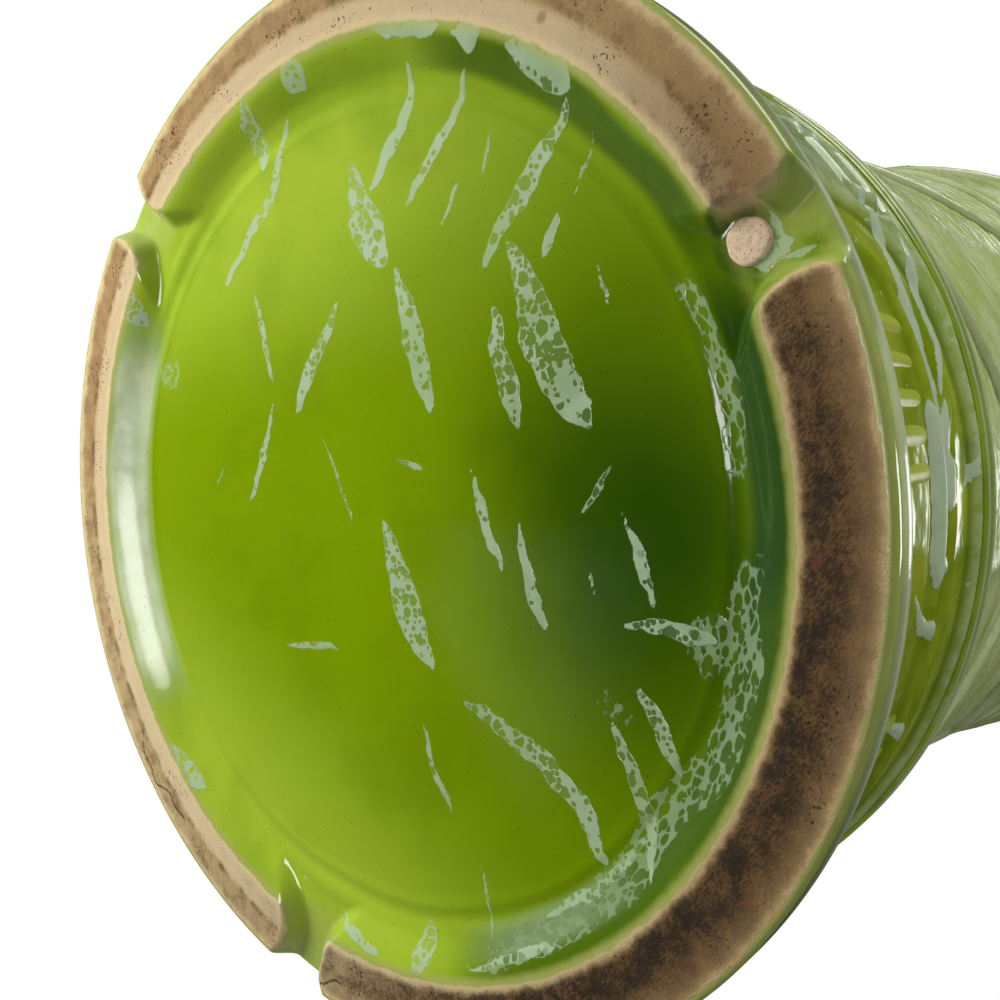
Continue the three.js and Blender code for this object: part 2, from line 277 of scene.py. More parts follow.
def make_piece(name, points, faces, marks, finish, nodes):
    mesh = new_mesh(name, points, faces, marks, finish)
    mesh.set_sharp_from_angle(angle=SHARP_EDGE)
    piece = placed(name, mesh)
    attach(piece, "root")
    if nodes:
        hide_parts(*nodes)
    face_outwards(mesh)


def grid_faces(columns, outline, around):
    """Quads between neighbouring columns of closed outlines, with end caps where the columns don't close."""
    column = np.arange(columns if around else columns - 1)
    row = np.arange(outline)
    here, up = np.meshgrid(column, row, indexing="ij")
    ahead = (here + 1) % columns
    above = (up + 1) % outline
    corners = [here * outline + up, ahead * outline + up, ahead * outline + above, here * outline + above]
    faces = np.stack([corner.ravel() for corner in corners], axis=-1).tolist()
    if not around:
        last = (columns - 1) * outline
        faces.append(list(range(outline)))
        faces.append(list(range(last + outline - 1, last - 1, -1)))
    return faces


def swept_piece(name, grid, marks, finish, nodes, around=True):
    """A closed body from columns of closed outlines, each given upwards on its outer side."""
    columns, outline = grid.shape[:2]
    faces = grid_faces(columns, outline, around)
    make_piece(name, grid.reshape(-1, 3), faces, marks, finish, nodes)


def shell_piece(name, front, back, marks, finish, nodes):
    """A closed shell from columns of its front and back. A mark varies in front and is one number behind."""
    full = {}
    for mark, (amounts, behind) in marks.items():
        full[mark] = np.concatenate([amounts, np.full(back.shape[:2], float(behind))], axis=1)
    swept_piece(name, np.concatenate([front, back], axis=1), full, finish, nodes)


def disc_grid(count):
    """Points of a square grid pressed evenly into a circle of radius 1, and the order of its border."""
    line = np.linspace(-1, 1, count)
    across, along = np.meshgrid(line, line, indexing="ij")
    wide = np.abs(across) > np.abs(along)
    radius = np.where(wide, across, along)
    safe = np.where(radius == 0, 1, radius)
    angle = np.where(wide, np.pi / 4 * along / safe, np.pi / 2 - np.pi / 4 * across / safe)
    flat = np.stack([radius * np.cos(angle), radius * np.sin(angle)], axis=-1).reshape(-1, 2)
    index = np.arange(count * count).reshape(count, count)
    return flat, *patch_faces(index)


def patch_faces(index):
    """Quads between the neighbours of a grid of point numbers, and the order of its border."""
    border = [*index[0, :-1], *index[:-1, -1], *index[-1, :0:-1], *index[:0:-1, 0]]
    quads = np.stack([index[:-1, :-1], index[:-1, 1:], index[1:, 1:], index[1:, :-1]], axis=-1)
    return quads.reshape(-1, 4).tolist(), [int(k) for k in border]


def walled_disc(name, reach, base, count, wall_end, level, marks_at, finish, nodes):
    """A disc with a wall round it, closed where the wall ends. Its level and marks come from its points."""
    flat, quads, border = disc_grid(count)
    points = np.column_stack([flat * reach, np.full(len(flat), float(base))])
    points[:, 2] = level(points, round_axis(points)[0])
    ring = points[border].copy()
    ring[:, 2] = wall_end
    marks = {mark: np.concatenate([amounts, amounts[border]]) for mark, amounts in marks_at(points).items()}
    first = len(points)
    around = len(border)
    walls = []
    for k in range(around):
        ahead = (k + 1) % around
        walls.append([border[k], border[ahead], first + ahead, first + k])
    faces = quads + walls + [list(range(first + around - 1, first - 1, -1))]
    make_piece(name, np.concatenate([points, ring]), faces, marks, finish, nodes)


# Streaks where the glaze crawled on the underside: points, widest half-width, and how foamy it is.
# They run loosely side by side, as drips do.
STREAKS = [
    ([(-38.5, -12.5), (-33.5, -10.5), (-30.0, -5.5)], 0.80, 0.15),
    ([(-35.5, -19.0), (-30.5, -14.5), (-27.0, -9.5)], 0.65, 0.25),
    ([(-39.5, 4.0), (-33.0, 9.0), (-26.0, 18.5)], 0.75, 0.30),
    ([(-42.5, 8.5), (-36.0, 9.5)], 1.20, 0.80),
    ([(-43.2, 1.4), (-41.0, 0.4)], 1.70, 0.60),
    ([(-42.6, -9.8), (-41.2, -14.0), (-39.0, -18.0)], 1.30, 0.00),
    ([(-38.2, -19.4), (-36.9, -21.8)], 1.40, 0.10),
    ([(-34.5, -24.6), (-32.4, -27.6), (-30.2, -30.0)], 1.80, 0.20),
    ([(-29.5, -29.0), (-25.5, -24.0), (-19.5, -17.8)], 0.95, 0.70),
    ([(-21.6, -25.6), (-18.8, -23.6)], 0.50, 0.00),
    ([(-26.7, -30.5), (-22.5, -27.5)], 0.18, 0.00),
    ([(-27.5, -17.0), (-24.0, -13.6)], 0.25, 0.00),
    ([(-20.0, -21.0), (-15.0, -22.0), (-9.0, -23.8), (-4.2, -26.0)], 2.10, 1.00),
    ([(-15.5, -18.0), (-10.5, -18.5), (-5.2, -19.0)], 1.15, 0.95),
    ([(-32.0, -3.4), (-27.5, -4.0), (-22.5, -6.0)], 1.90, 1.00),
    ([(-21.5, -7.4), (-16.0, -8.6), (-8.0, -9.4)], 1.40, 0.45),
    ([(-20.5, 1.0), (-15.5, 5.6), (-11.0, 8.6)], 0.95, 0.70),
    ([(1.0, -2.0), (5.0, -2.6), (9.5, -3.8), (15.0, -5.6)], 1.60, 0.85),
    ([(-4.6, -4.6), (-3.2, -8.0)], 0.45, 0.50),
    ([(-2.4, -13.4), (2.0, -14.3), (6.5, -15.4)], 0.60, 0.25),
    ([(2.5, -17.6), (7.5, -18.4), (11.8, -19.4)], 0.60, 0.10),
    ([(2.5, -28.6), (6.4, -29.1), (10.2, -29.8)], 0.50, 0.35),
    ([(-1.2, -28.2), (0.7, -26.6), (2.5, -24.8)], 0.35, 0.60),
    ([(12.6, 15.4), (13.0, 6.9)], 0.42, 0.20),
    ([(-24.5, 12.8), (-19.4, 12.9), (-14.6, 12.4)], 0.42, 0.60),
    ([(-12.5, 12.4), (-8.8, 14.2), (-3.0, 18.2)], 0.50, 0.40),
    ([(19.8, -3.4), (24.2, -4.4), (28.5, -5.8)], 0.45, 0.10),
    ([(17.8, -9.4), (20.4, -13.4), (23.0, -17.8), (26.2, -20.6), (30.6, -22.4)], 1.15, 0.90),
    ([(19.0, -25.0), (24.7, -26.6), (31.0, -27.6)], 0.80, 0.70),
    ([(11.6, -27.6), (12.2, -31.6), (13.0, -35.2)], 0.85, 0.80),
    ([(27.0, -28.0), (32.0, -22.6), (36.0, -15.8)], 0.60, 0.70),
    ([(40.0, 11.0), (41.4, 7.5), (42.6, 4.4)], 0.50, 0.10),
    ([(-31.0, 34.5), (-25.0, 32.6)], 1.60, 0.90),
    ([(22.5, 38.0), (28.4, 31.0)], 1.25, 0.90),
    ([(-26.5, -36.0), (-24.0, -37.4)], 0.80, 0.20),
    ([(-8.0, 21.5), (-5.0, 24.0)], 0.16, 0.00),
    ([(-17.0, -28.8), (-13.5, -29.6)], 0.22, 0.40),
    ([(41.4, -7.0), (39.6, -13.0), (37.4, -17.6)], 0.45, 0.60),
    ([(16.6, -27.6), (19.8, -29.2), (23.0, -30.6)], 0.75, 1.00),
    ([(38.9, -2.0), (41.2, -1.8), (43.2, -1.1)], 1.25, 0.90),
    ([(32.4, -8.9), (36.0, -9.2), (38.8, -9.4)], 0.22, 0.00),
    ([(-30.5, -20.5), (-26.5, -19.0)], 0.20, 0.00),
    ([(-8.5, 6.0), (-4.0, 3.5), (0.5, 2.8)], 0.30, 0.50),
    ([(6.5, -24.2), (9.0, -24.6)], 0.22, 0.00),
]

# Broken glaze beside the scar
CHIPS = [
    ([(-13.4, -41.4), (-13.5, -42.6), (-14.2, -43.6), (-14.5, -44.6)], 0.95, 0.45),
    ([(-16.6, -43.4), (-15.6, -43.4), (-14.6, -43.9)], 0.60, 0.00),
    ([(-13.3, -43.8), (-13.2, -45.3), (-13.5, -46.4)], 0.40, 0.00),
]


def streak_marks(spots, strokes):
    """How far each spot lies inside the nearest streak, in millimetres, and how foamy that streak is."""
    inside = np.full(spots.shape[0], -3.0)
    foam = np.zeros(spots.shape[0])
    for path, half_width, foamy in strokes:
        knots = np.array(path)
        lengths = np.linalg.norm(np.diff(knots, axis=0), axis=1)
        travelled = np.concatenate([[0], np.cumsum(lengths)]) / lengths.sum()
        for k, length in enumerate(lengths):
            along = (knots[k + 1] - knots[k]) / length
            gone = np.clip((spots - knots[k]) @ along / length, 0, 1)
            nearest = knots[k] + gone[:, None] * (knots[k + 1] - knots[k])
            away = np.linalg.norm(spots - nearest, axis=1)
            share = travelled[k] + gone * (travelled[k + 1] - travelled[k])
            width = half_width * (0.22 + 0.76 * np.sin(np.pi * share ** 1.25) ** 0.6)
            depth = width - away
            nearer = depth > inside
            inside = np.where(nearer, depth, inside)
            foam = np.where(nearer, foamy * (1 - 0.8 * smooth(share, 0.6, 0.9)), foam)
    return inside, foam


def strayed(spots, points, seed):
    """Spots moved a little this way and that, so that what is drawn on them gets an uneven outline."""
    for size, reach in ((3.0, 0.45), (0.9, 0.22)):
        spots = spots + reach * np.stack([rough(points, size, seed), rough(points, size, seed + 1)], axis=-1)
        seed += 2
    return spots


def notch_distance(radius, bearing):
    """How far a point lies outside the sides of the nearest notch, along the ring, in millimetres."""
    nearest = np.full(np.broadcast(radius, bearing).shape, 1000.0)
    for middle in NOTCH_BEARINGS:
        across = radius * np.radians(np.abs(off_centre(bearing, middle)))
        flare = NOTCH_FLARE * ((radius - NOTCH_THROAT) / 3) ** 2
        nearest = np.minimum(nearest, across - NOTCH_HALF_WIDTH - flare + NOTCH_SHOULDER / 2)
    return nearest


def scar_distance(points):
    """How far a point lies from the axis of the scar's disc."""
    middle = turned(SCAR_FROM_AXIS, SCAR_BEARING, 0.0)
    return np.hypot(points[..., 0] - middle[0], points[..., 1] - middle[1])


def rounded_least(first, second, corner):
    """The lesser of two distances, with a rounded corner where both run out."""
    least = np.maximum(np.minimum(first, second), corner)
    return least - np.hypot(np.maximum(corner - first, 0), np.maximum(corner - second, 0))


def on_bands(bands, radius, bearing):
    """The most of any band at each spot. A band lies between two radii and two bearings, with soft edges."""
    most = np.zeros(radius.shape)
    for (inner, outer), (first, last), strength in bands:
        soft = (outer - inner) / 5
        across = smooth(radius, inner - soft, inner + soft) * (1 - smooth(radius, outer - soft, outer + soft))
        half = (last - first) / 2
        inside = half - np.abs(off_centre(bearing, (first + last) / 2))
        most = np.maximum(most, strength * (across * smooth(inside, 0, min(14, half))))
    return most


def underside_level(points):
    """Height of the underside over the standing surface, with its ridges, cove, ring and notches."""
    radius, bearing = round_axis(points)
    wobble = 0.35 * rough(points, 9.0, 3)
    cove = smooth(radius + wobble, COVE_START, BARE_INNER + 0.35)
    level = FLOOR_LEVEL * (1 - cove)
    for ridge, strength in zip(RIDGE_RADII, (1.0, 0.6)):
        level = level - RIDGE_HEIGHT * strength * bump(radius + 0.5 * wobble - ridge, 0.55)
    level = level + 0.10 * rough(points, 14.0, 5) * (1 - smooth(radius, 36, 43)) * smooth(radius, 0, 3)
    away = notch_distance(radius, bearing) + 0.4 * rough(points, 2.6, 7)
    cut = 1 - smooth(away, -NOTCH_SHOULDER * 0.75, NOTCH_SHOULDER * 0.5)
    cut = cut * smooth(radius, COVE_START, 41)
    level = level + (NOTCH_LEVEL - level) * cut
    dish = 1 - smooth(scar_distance(points), SCAR_RADIUS + 0.3, SCAR_RADIUS + 1.3)
    level = level + (SCAR_DISH_LEVEL - level) * dish
    return np.clip(level, 0, FLOOR_LEVEL)


# Where the glaze ran together under the foot, with painted shade on the cove's shaded side, strongest towards
# -Y: radii, bearings and depth of each pool
POOLS_AND_SHADE = [
    ((39.4, 42.9), (-116, -66), 1.0),
    ((39.7, 42.6), (-166, -104), 0.75),
    ((39.2, 43.0), (-86, -4), 0.66),
    ((39.6, 42.4), (-215, -150), 0.20),
]

# Where it broke into an open net, and where a milky veil lies over it. The veil round bearings 60 to 132 in
# the cove is also a painted reflection.
NETS = [
    ((38.2, 41.4), (-86, -24), 1.0),
    ((34.5, 39.0), (-78, -60), 0.72),
    ((39.2, 41.6), (-40, -6), 0.95),
    ((37.6, 39.6), (-118, -80), 0.66),
    ((29.0, 34.5), (-62, -46), 0.50),
    ((33.8, 38.0), (114, 130), 0.62),
]
FILMS_AND_SHEEN = [
    ((38.2, 43.4), (60, 132), 1.0),
    ((38.6, 41.4), (-44, -6), 0.46),
    ((10.0, 30.0), (-86, -22), 0.05),
]


# Splits in the bare clay: first and last bearing, and radius
CRACKS = [(47, 62, 48.0), (12, 17, 47.6)]


def underside_marks(points):
    """Marks that the underside's finish reads."""
    radius, bearing = round_axis(points)
    inside, foam = streak_marks(strayed(points[:, :2], points, 31), STREAKS + CHIPS)
    wander = 0.45 * rough(points, 5.0, 36)
    away = notch_distance(radius, bearing) - 0.45
    ring = np.minimum(radius - BARE_INNER, BARE_OUTER - radius)
    bare = rounded_least(ring, away, BARE_ROUNDING)
    from_scar = scar_distance(points)
    bare = np.minimum(bare, from_scar - SCAR_RADIUS - 0.6)
    round_scar = 0.9 * (1 - smooth(from_scar + wander, SCAR_RADIUS + 0.5, SCAR_RADIUS + 1.9))
    pooled_and_shaded = np.maximum(on_bands(POOLS_AND_SHADE, radius + wander, bearing), round_scar)
    net = on_bands(NETS, radius + 3 * wander, bearing)
    film = on_bands(FILMS_AND_SHEEN, radius + wander, bearing)
    # Darker towards bearing -52: real staining, and painted shade too.
    stain = smooth(np.cos(np.radians(off_centre(bearing, STAIN_AND_SHADE_BEARING))), -0.05, 0.90)
    outer = smooth(radius, BARE_OUTER + 0.25, BARE_OUTER + 0.45) * smooth(points[:, 2], 0.4, 1.2)
    notch = (1 - smooth(away, -1.6, 0.4)) * smooth(radius, 41.5, 44)
    crack = np.full(points.shape[0], 5.0)
    for start, end, reach in CRACKS:
        middle = (start + end) / 2
        path = reach + 0.7 * np.sin(bearing / 2.1) + 0.35 * np.sin(bearing / 0.77)
        past = np.maximum(np.abs(off_centre(bearing, middle)) - (end - start) / 2, 0)
        crack = np.minimum(crack, np.abs(radius - path) + past)
    return {
        "streak": inside, "foam": foam, "bare": bare, "pool": pooled_and_shaded, "net": net, "film": film,
        "stain": stain, "outer": outer, "notch": notch, "crack": crack,
        "along": np.radians(bearing) * COVE_START, "across": radius,
    }


# Node expressions
def arithmetic(operation, turned_round=False):
    def apply(value, other):
        pair = (other, value) if turned_round else (value, other)
        return value.nodes.math(operation, *pair)

    return apply


class Value:
    """A number or colour that a node gives. Arithmetic on it adds Math nodes to its tree."""

    def __init__(self, nodes, socket):
        self.nodes = nodes
        self.socket = socket

    __add__ = __radd__ = arithmetic("ADD")
    __sub__ = arithmetic("SUBTRACT")
    __rsub__ = arithmetic("SUBTRACT", turned_round=True)
    __mul__ = __rmul__ = arithmetic("MULTIPLY")
    __truediv__ = arithmetic("DIVIDE")
    __rtruediv__ = arithmetic("DIVIDE", turned_round=True)


class Nodes:
    """A node tree, with its nodes written as expressions."""

    def __init__(self, tree):
        self.tree = tree

    def feed(self, socket, source):
        if isinstance(source, Value):
            self.tree.links.new(source.socket, socket)
        else:
            socket.default_value = source

    def make(self, kind, settings=None, inputs=None, output=0):
        prefix = "" if kind.startswith(("Geometry", "Node")) else "ShaderNode"
        node = self.tree.nodes.new(prefix + kind)
        for name, setting in (settings or {}).items():
            setattr(node, name, setting)
        for name, source in (inputs or {}).items():
            self.feed(node.inputs[name], source)
        return Value(self, node.outputs[output])

    def math(self, operation, first, second=0.0):
        return self.make("Math", {"operation": operation}, {0: first, 1: second})

    def most(self, first, second):
        return self.math("MAXIMUM", first, second)

    def step(self, value, low, high, least=0.0, most=1.0):
        between = {0: value, 1: low, 2: high, 3: least, 4: most}
        return self.make("MapRange", {"interpolation_type": "SMOOTHSTEP"}, between)


class Finish(Nodes):
    """One material on Object coordinates in millimetres."""

    def __init__(self, name, **constants):
        self.material = bpy.data.materials.new(name)
        self.material.use_nodes = True
        super().__init__(self.material.node_tree)
        self.shader = self.tree.nodes["Principled BSDF"]
        for socket, amount in constants.items():
            self.shader.inputs[socket.replace("_", " ")].default_value = amount
        place = self.make("TexCoord", output="Object")
        self.place = self.make("VectorMath", {"operation": "SCALE"}, {0: place, "Scale": 1 / MM})

    def drawn_out(self, lengths, turn=0.0):
        """Coordinates on which a pattern comes out longer by these lengths, along axes turned round Z."""
        inputs = {"Vector": self.place, "Rotation": (0, 0, math.radians(turn)), "Scale": lengths}
        return self.make("Mapping", {"vector_type": "TEXTURE"}, inputs)

    def part(self, axis, vector=None):
        return self.make("SeparateXYZ", None, {0: vector or self.place}, output=axis)

    def mark(self, name):
        return self.make("Attribute", {"attribute_name": name}, output="Fac")

    def noise(self, size, detail=3.0, roughness=0.55, vector=None, distortion=0.0):
        return self.make("TexNoise", None, {
            "Vector": vector or self.place,
            "Scale": 1 / size,
            "Detail": detail,
            "Roughness": roughness,
            "Distortion": distortion,
        })

    def cells(self, size, output="Distance", vector=None, feature="F1"):
        """Cells about as large as size, alike at every height."""
        settings = {"feature": feature, "voronoi_dimensions": "2D"}
        return self.make("TexVoronoi", settings, {"Vector": vector or self.place, "Scale": 1 / size}, output)

    def blend(self, factor, first, second):
        return self.make("Mix", {"data_type": "RGBA"}, {0: factor, 6: first, 7: second}, output=2)

    def bump(self, height, strength, distance):
        return self.make("Bump", None, {"Height": height, "Strength": strength, "Distance": distance * MM})

    def finish(self, **inputs):
        for socket, source in inputs.items():
            self.feed(self.shader.inputs[socket.replace("_", " ")], source)
        return self.material


def paint(red, green, blue):
    """A colour as seen on a screen, from 0 to 255, in the renderer's own linear values."""
    parts = [part / 255 for part in (red, green, blue)]
    return (*[p / 12.92 if p <= 0.04045 else ((p + 0.055) / 1.055) ** 2.4 for p in parts], 1)


MINT = paint(184, 208, 168)
FROST = paint(190, 202, 168)
LIME = paint(134, 166, 2)
BRIGHT_LIME = paint(178, 206, 56)
OLIVE = paint(106, 138, 3)
DEEP_GREEN = paint(42, 78, 2)
DARK_GREEN = paint(34, 74, 8)
YELLOW_EDGE = paint(184, 186, 108)
CELADON = paint(168, 184, 132)
CREAM = paint(236, 212, 158)
TAN = paint(208, 178, 124)
SAND = paint(176, 144, 92)
BROWN = paint(88, 60, 16)
DARK_BROWN = paint(38, 25, 6)


def foam_holes(look, streak, foam, vector=None, sizes=(1.35, 0.62)):
    """Round holes in the foamy part of a streak, large and small, with thin walls between them."""
    clear = 0.0
    for size, most_holes, least_holes in zip(sizes, (1.15, 0.62), (0.0, 0.10)):
        tone = look.cells(size, output="Color", vector=vector)
        middle = look.cells(size, vector=vector)
        wall = look.cells(size, feature="DISTANCE_TO_EDGE", vector=vector)
        present = look.step(foam * most_holes + least_holes - look.part(0, tone), 0.0, 0.08)
        hole = 1 - look.step(middle - 0.24 * look.part(1, tone), 0.20, 0.29)
        hole = hole * look.step(wall, 0.04, 0.10) * present
        clear = look.most(hole, clear)
    return clear * look.step(streak, 0.05, 0.16)


def underside_glaze(look, bare):
    """Colour of the glaze under the foot, with painted light, shade and reflection in it, and how much of it
    is a milky streak, net or veil.
    """
    streak = look.mark("streak")
    film = look.mark("film")
    net = look.mark("net")
    x = look.part(0)
    y = look.part(1)

    # Yellow-green at the thin sides, darkest green where it ran together. These sides also carry painted
    # light and shade: brighter lime towards -X and towards +X+Y, olive towards -Y, and the darkest blob
    # towards -Y.
    cloud = look.noise(16.0, 3.0, 0.6)
    fine = look.noise(1.1, 2.0, 0.6)
    across = y + 29 + 14 * (cloud - 0.5)
    down = x - 5
    deep_and_shaded = 1 - look.step(look.math("SQRT", across * across / 190 + down * down / 300), 0.1, 1.7)
    thin = look.most(look.step(x * -1 + 12 * (cloud - 0.5), 10, 34), look.step(x * 0.85 + y * 0.55, 16, 42))
    glaze = look.blend(thin, LIME, BRIGHT_LIME)
    glaze = look.blend(look.step(cloud, 0.45, 0.72) * 0.35, glaze, OLIVE)
    glaze = look.blend(look.step(y * -1, -6, 36) * 0.65, glaze, OLIVE)
    glaze = look.blend(deep_and_shaded * 0.95, glaze, DEEP_GREEN)
    # Dark green in the cove: glaze pooling, and painted shade.
    glaze = look.blend(look.mark("pool") * (0.86 + 0.14 * fine), glaze, DARK_GREEN)
    thin_notch = look.mark("notch") * 0.8 * look.step(look.noise(3.0), 0.25, 0.6)
    glaze = look.blend(thin_notch, glaze, paint(176, 190, 88))

    # Milky streaks: solid at one end, foamy at the other
    ragged = streak + 0.42 * (look.noise(0.8, 3.0, 0.7) - 0.5)
    solid = look.step(ragged, 0.0, 0.13)
    holes = foam_holes(look, streak, look.mark("foam"))
    thickness = 0.66 + 0.26 * look.step(look.noise(5.0), 0.35, 0.65)
    milky = solid * (1 - 0.86 * holes) * thickness

    # Open net along the cove, with its holes drawn out round the ring
    lace = look.make("CombineXYZ", None, {0: look.mark("along") * 0.52, 1: look.mark("across"), 2: 0.0})
    patch = look.noise(4.5, 3.0, 0.6)
    frayed = net + 0.9 * (patch - 0.5) + 0.5 * (look.noise(0.9, 3.0, 0.6) - 0.5)
    covered = look.step(frayed, 0.40, 0.52)
    gaps = foam_holes(look, covered, 1.0, lace, (0.95, 0.50))
    milky = look.most(milky, covered * (1 - 0.95 * gaps) * (0.28 + 0.30 * patch))
    milky = look.most(milky, film * (0.7 + 0.6 * (look.noise(2.2) - 0.5)))
    # Near white where the veil is strongest: a painted reflection in the cove.
    glaze = look.blend(milky, glaze, look.blend(look.step(film, 0.4, 1.0), MINT, paint(236, 248, 210)))
    speck = 1 - look.step(look.cells(3.4), 0.012, 0.035)
    glaze = look.blend(speck * 0.5, glaze, DARK_GREEN)

    # It thins to a yellow line beside the clay, and to a pale coat round the outer edge
    glaze = look.blend(look.step(bare + 0.4 * (fine - 0.5), -1.0, -0.1) * 0.8, glaze, YELLOW_EDGE)
    outer = look.mark("outer")
    return look.blend(outer * (0.45 + 0.30 * fine), glaze, FROST), milky


def ring_clay(look, bare):
    """Colour of the bare clay, its dark specks and its splits. It is browner and darker towards bearing -52,
    partly real staining and partly painted shade.
    """
    stain = look.mark("stain")
    grain = look.noise(0.20, 5.0, 0.75, look.drawn_out((2.4, 1.0, 1.0), 48))
    mottle = look.noise(2.6, 6.0, 0.72)
    inner = look.step(bare + 1.2 * (mottle - 0.5), 0.2, 1.1)
    across = look.mark("across") + 1.4 * (mottle - 0.5)
    worn = inner * (1 - 0.7 * look.step(across, 45.8, 49.0))
    clay = look.blend(look.step(grain + 0.6 * (mottle - 0.5), 0.26, 0.70), SAND, TAN)
    # Painted light: the clay is paler towards +X and +Y, where more light falls.
    painted_lit_side = look.step(look.part(0) * 0.8 + look.part(1) * 0.6, 8, 42)
    clay = look.blend(painted_lit_side * 0.75, clay, CREAM)
    # Lighter clay on the inner part, strongest away from bearing -52: partly painted light.
    kept_clean_and_lit = (1 - look.step(across, 45.4, 46.6)) * (1 - stain)
    clay = look.blend(kept_clean_and_lit * 0.55, clay, paint(236, 216, 176))
    handled = look.step(across, 45.9, 46.7) * (1 - 0.8 * stain)
    clay = look.blend(handled * (0.34 + 0.5 * look.step(mottle, 0.40, 0.66)), clay, paint(150, 116, 74))
    # Browner towards bearing -52: staining and painted shade.
    clay = look.blend(stain * (0.25 + 0.63 * worn), clay, paint(114, 80, 24))
    dirt_line = look.step(across, 45.9, 46.4) * (1 - look.step(across, 46.5, 47.3))
    dirt = dirt_line * look.step(look.noise(3.4, 3.0, 0.6) + 0.5 * (grain - 0.5), 0.48, 0.66)
    clay = look.blend(dirt * 0.62, clay, paint(84, 54, 26))
    # The brown and darkest brown patches crowd towards bearing -52, which adds painted shade there.
    brown = look.step(mottle + 1.1 * (grain - 0.5) + 0.30 * stain, 0.44, 0.92) * worn
    clay = look.blend(brown * (0.24 + 0.62 * stain), clay, BROWN)
    burnt_and_shaded = look.step(mottle + 0.8 * (grain - 0.5) + 0.26 * stain, 0.62, 0.90) * worn * stain
    clay = look.blend(burnt_and_shaded * 0.88, clay, DARK_BROWN)
    pale = 1 - look.step(bare + 2.0 * (mottle - 0.5), 0.0, 1.1 - 0.5 * stain)
    clay = look.blend(pale * (0.80 - 0.35 * stain), clay, CREAM)
    crowd = look.step(look.noise(5.0, 2.0, 0.5), 0.36, 0.66)
    fine_specks = look.step(look.noise(0.34, 2.0, 0.6) + 0.10 * crowd, 0.70, 0.73)
    large_specks = look.step(look.noise(1.1, 4.0, 0.7) + 0.09 * crowd, 0.735, 0.750)
    specks = look.most(fine_specks * crowd, large_specks) * inner
    rust = look.blend(look.step(look.noise(7.0), 0.4, 0.6), paint(84, 30, 18), paint(34, 20, 10))
    clay = look.blend(specks * 0.9, clay, rust)
    blush = 1 - look.step(look.cells(11.0), 0.02, 0.06)
    clay = look.blend(blush * 0.5 * inner, clay, paint(132, 56, 52))
    split = 1 - look.step(look.mark("crack") + 0.25 * (grain - 0.5), 0.05, 0.20)
    clay = look.blend(split * 0.85, clay, paint(78, 40, 22))
    relief = grain * 0.20 - specks * 0.30 - split * 0.5 + 0.06 * look.noise(0.25, 2.0)
    return clay, relief


def underside_finish():
    """Bare clay on the standing ring, and lime glaze with crawled streaks on the rest."""
    look = Finish("underside_glaze_and_clay", IOR=1.48)
    bare = look.mark("bare")
    glaze, milky = underside_glaze(look, bare)
    clay, clay_relief = ring_clay(look, bare)
    clay_share = look.step(bare + 0.9 * (look.noise(1.8, 4.0, 0.65) - 0.5), -0.14, 0.18)
    colour = look.blend(clay_share, glaze, clay)
    glint = (1 - look.step(look.cells(0.35), 0.05, 0.13)) * look.step(bare, 1.0, 0.2)
    clay_roughness = 0.88 - 0.5 * glint
    glaze_roughness = 0.07 + 0.20 * milky
    roughness = glaze_roughness + (clay_roughness - glaze_roughness) * clay_share
    glaze_relief = 0.10 * milky + 0.10 * look.noise(3.2, 2.0, 0.5)
    height = glaze_relief + (clay_relief - glaze_relief) * clay_share
    return look.finish(Base_Color=colour, Roughness=roughness, Normal=look.bump(height, 0.9, 0.45))


def scar_finish():
    """Bare peach clay with a few pits."""
    look = Finish("scar_clay", IOR=1.45)
    grain = look.noise(0.5, 4.0, 0.6)
    colour = look.blend(look.step(grain, 0.35, 0.7), paint(238, 206, 168), paint(250, 226, 192))
    pits = 1 - look.step(look.cells(0.5), 0.05, 0.14)
    colour = look.blend(pits * 0.3, colour, SAND)
    normal = look.bump(grain - pits, 0.8, 0.12)
    return look.finish(Base_Color=colour, Roughness=0.88 + 0.06 * grain, Normal=normal)


def relief_finish():
    """Pale glaze on the raised ground, lime in the windows, dark in the grooves, with milky crawled runs."""
    look = Finish("relief_glaze", IOR=1.5)
    ground = look.mark("ground")
    edge = look.mark("edge")
    run = look.mark("run")
    cloud = look.noise(6.0, 3.0, 0.6)
    fine = look.noise(0.9, 3.0, 0.65)
    colour = look.blend(look.step(cloud, 0.32, 0.68), paint(120, 142, 6), paint(158, 172, 40))
    streaky = look.noise(1.6, 3.0, 0.6, look.drawn_out((1.0, 1.0, 2.6)), 0.6)
    paler = look.step(streaky + 0.5 * (cloud - 0.5), 0.34, 0.62)
    pale = look.blend(paler, paint(150, 174, 88), paint(176, 192, 142))
    colour = look.blend(ground * 0.95, colour, pale)
    colour = look.blend(look.mark("pool") * (0.75 + 0.25 * fine), colour, paint(58, 96, 4))
    # Paler yellow over each bar's crest: a painted highlight.
    colour = look.blend(look.mark("rib") * 0.9, colour, paint(182, 192, 70))
    thin = look.step(edge + 0.9 * (fine - 0.5) + 0.5 * (cloud - 0.5), 0.35, 0.90)
    colour = look.blend(thin * 0.6, colour, paint(182, 194, 142))
    blotch = look.noise(3.4, 3.0, 0.5, None, 1.4)
    stray = look.step(blotch + 0.05 * edge, 0.69, 0.715) * 0.7
    ragged = run + 0.5 * (look.noise(0.8, 3.0, 0.7) - 0.5)
    crawl = look.most(look.step(ragged, 0.0, 0.14) * (0.72 + 0.2 * fine), stray)
    colour = look.blend(crawl, colour, paint(190, 208, 178))
    roughness = 0.09 + 0.12 * crawl + 0.04 * thin + 0.22 * look.mark("rib")
    normal = look.bump(0.4 * look.noise(3.0, 2.0, 0.5) + 0.25 * crawl + 0.1 * thin, 0.6, 0.22)
    return look.finish(Base_Color=colour, Roughness=roughness, Normal=normal)


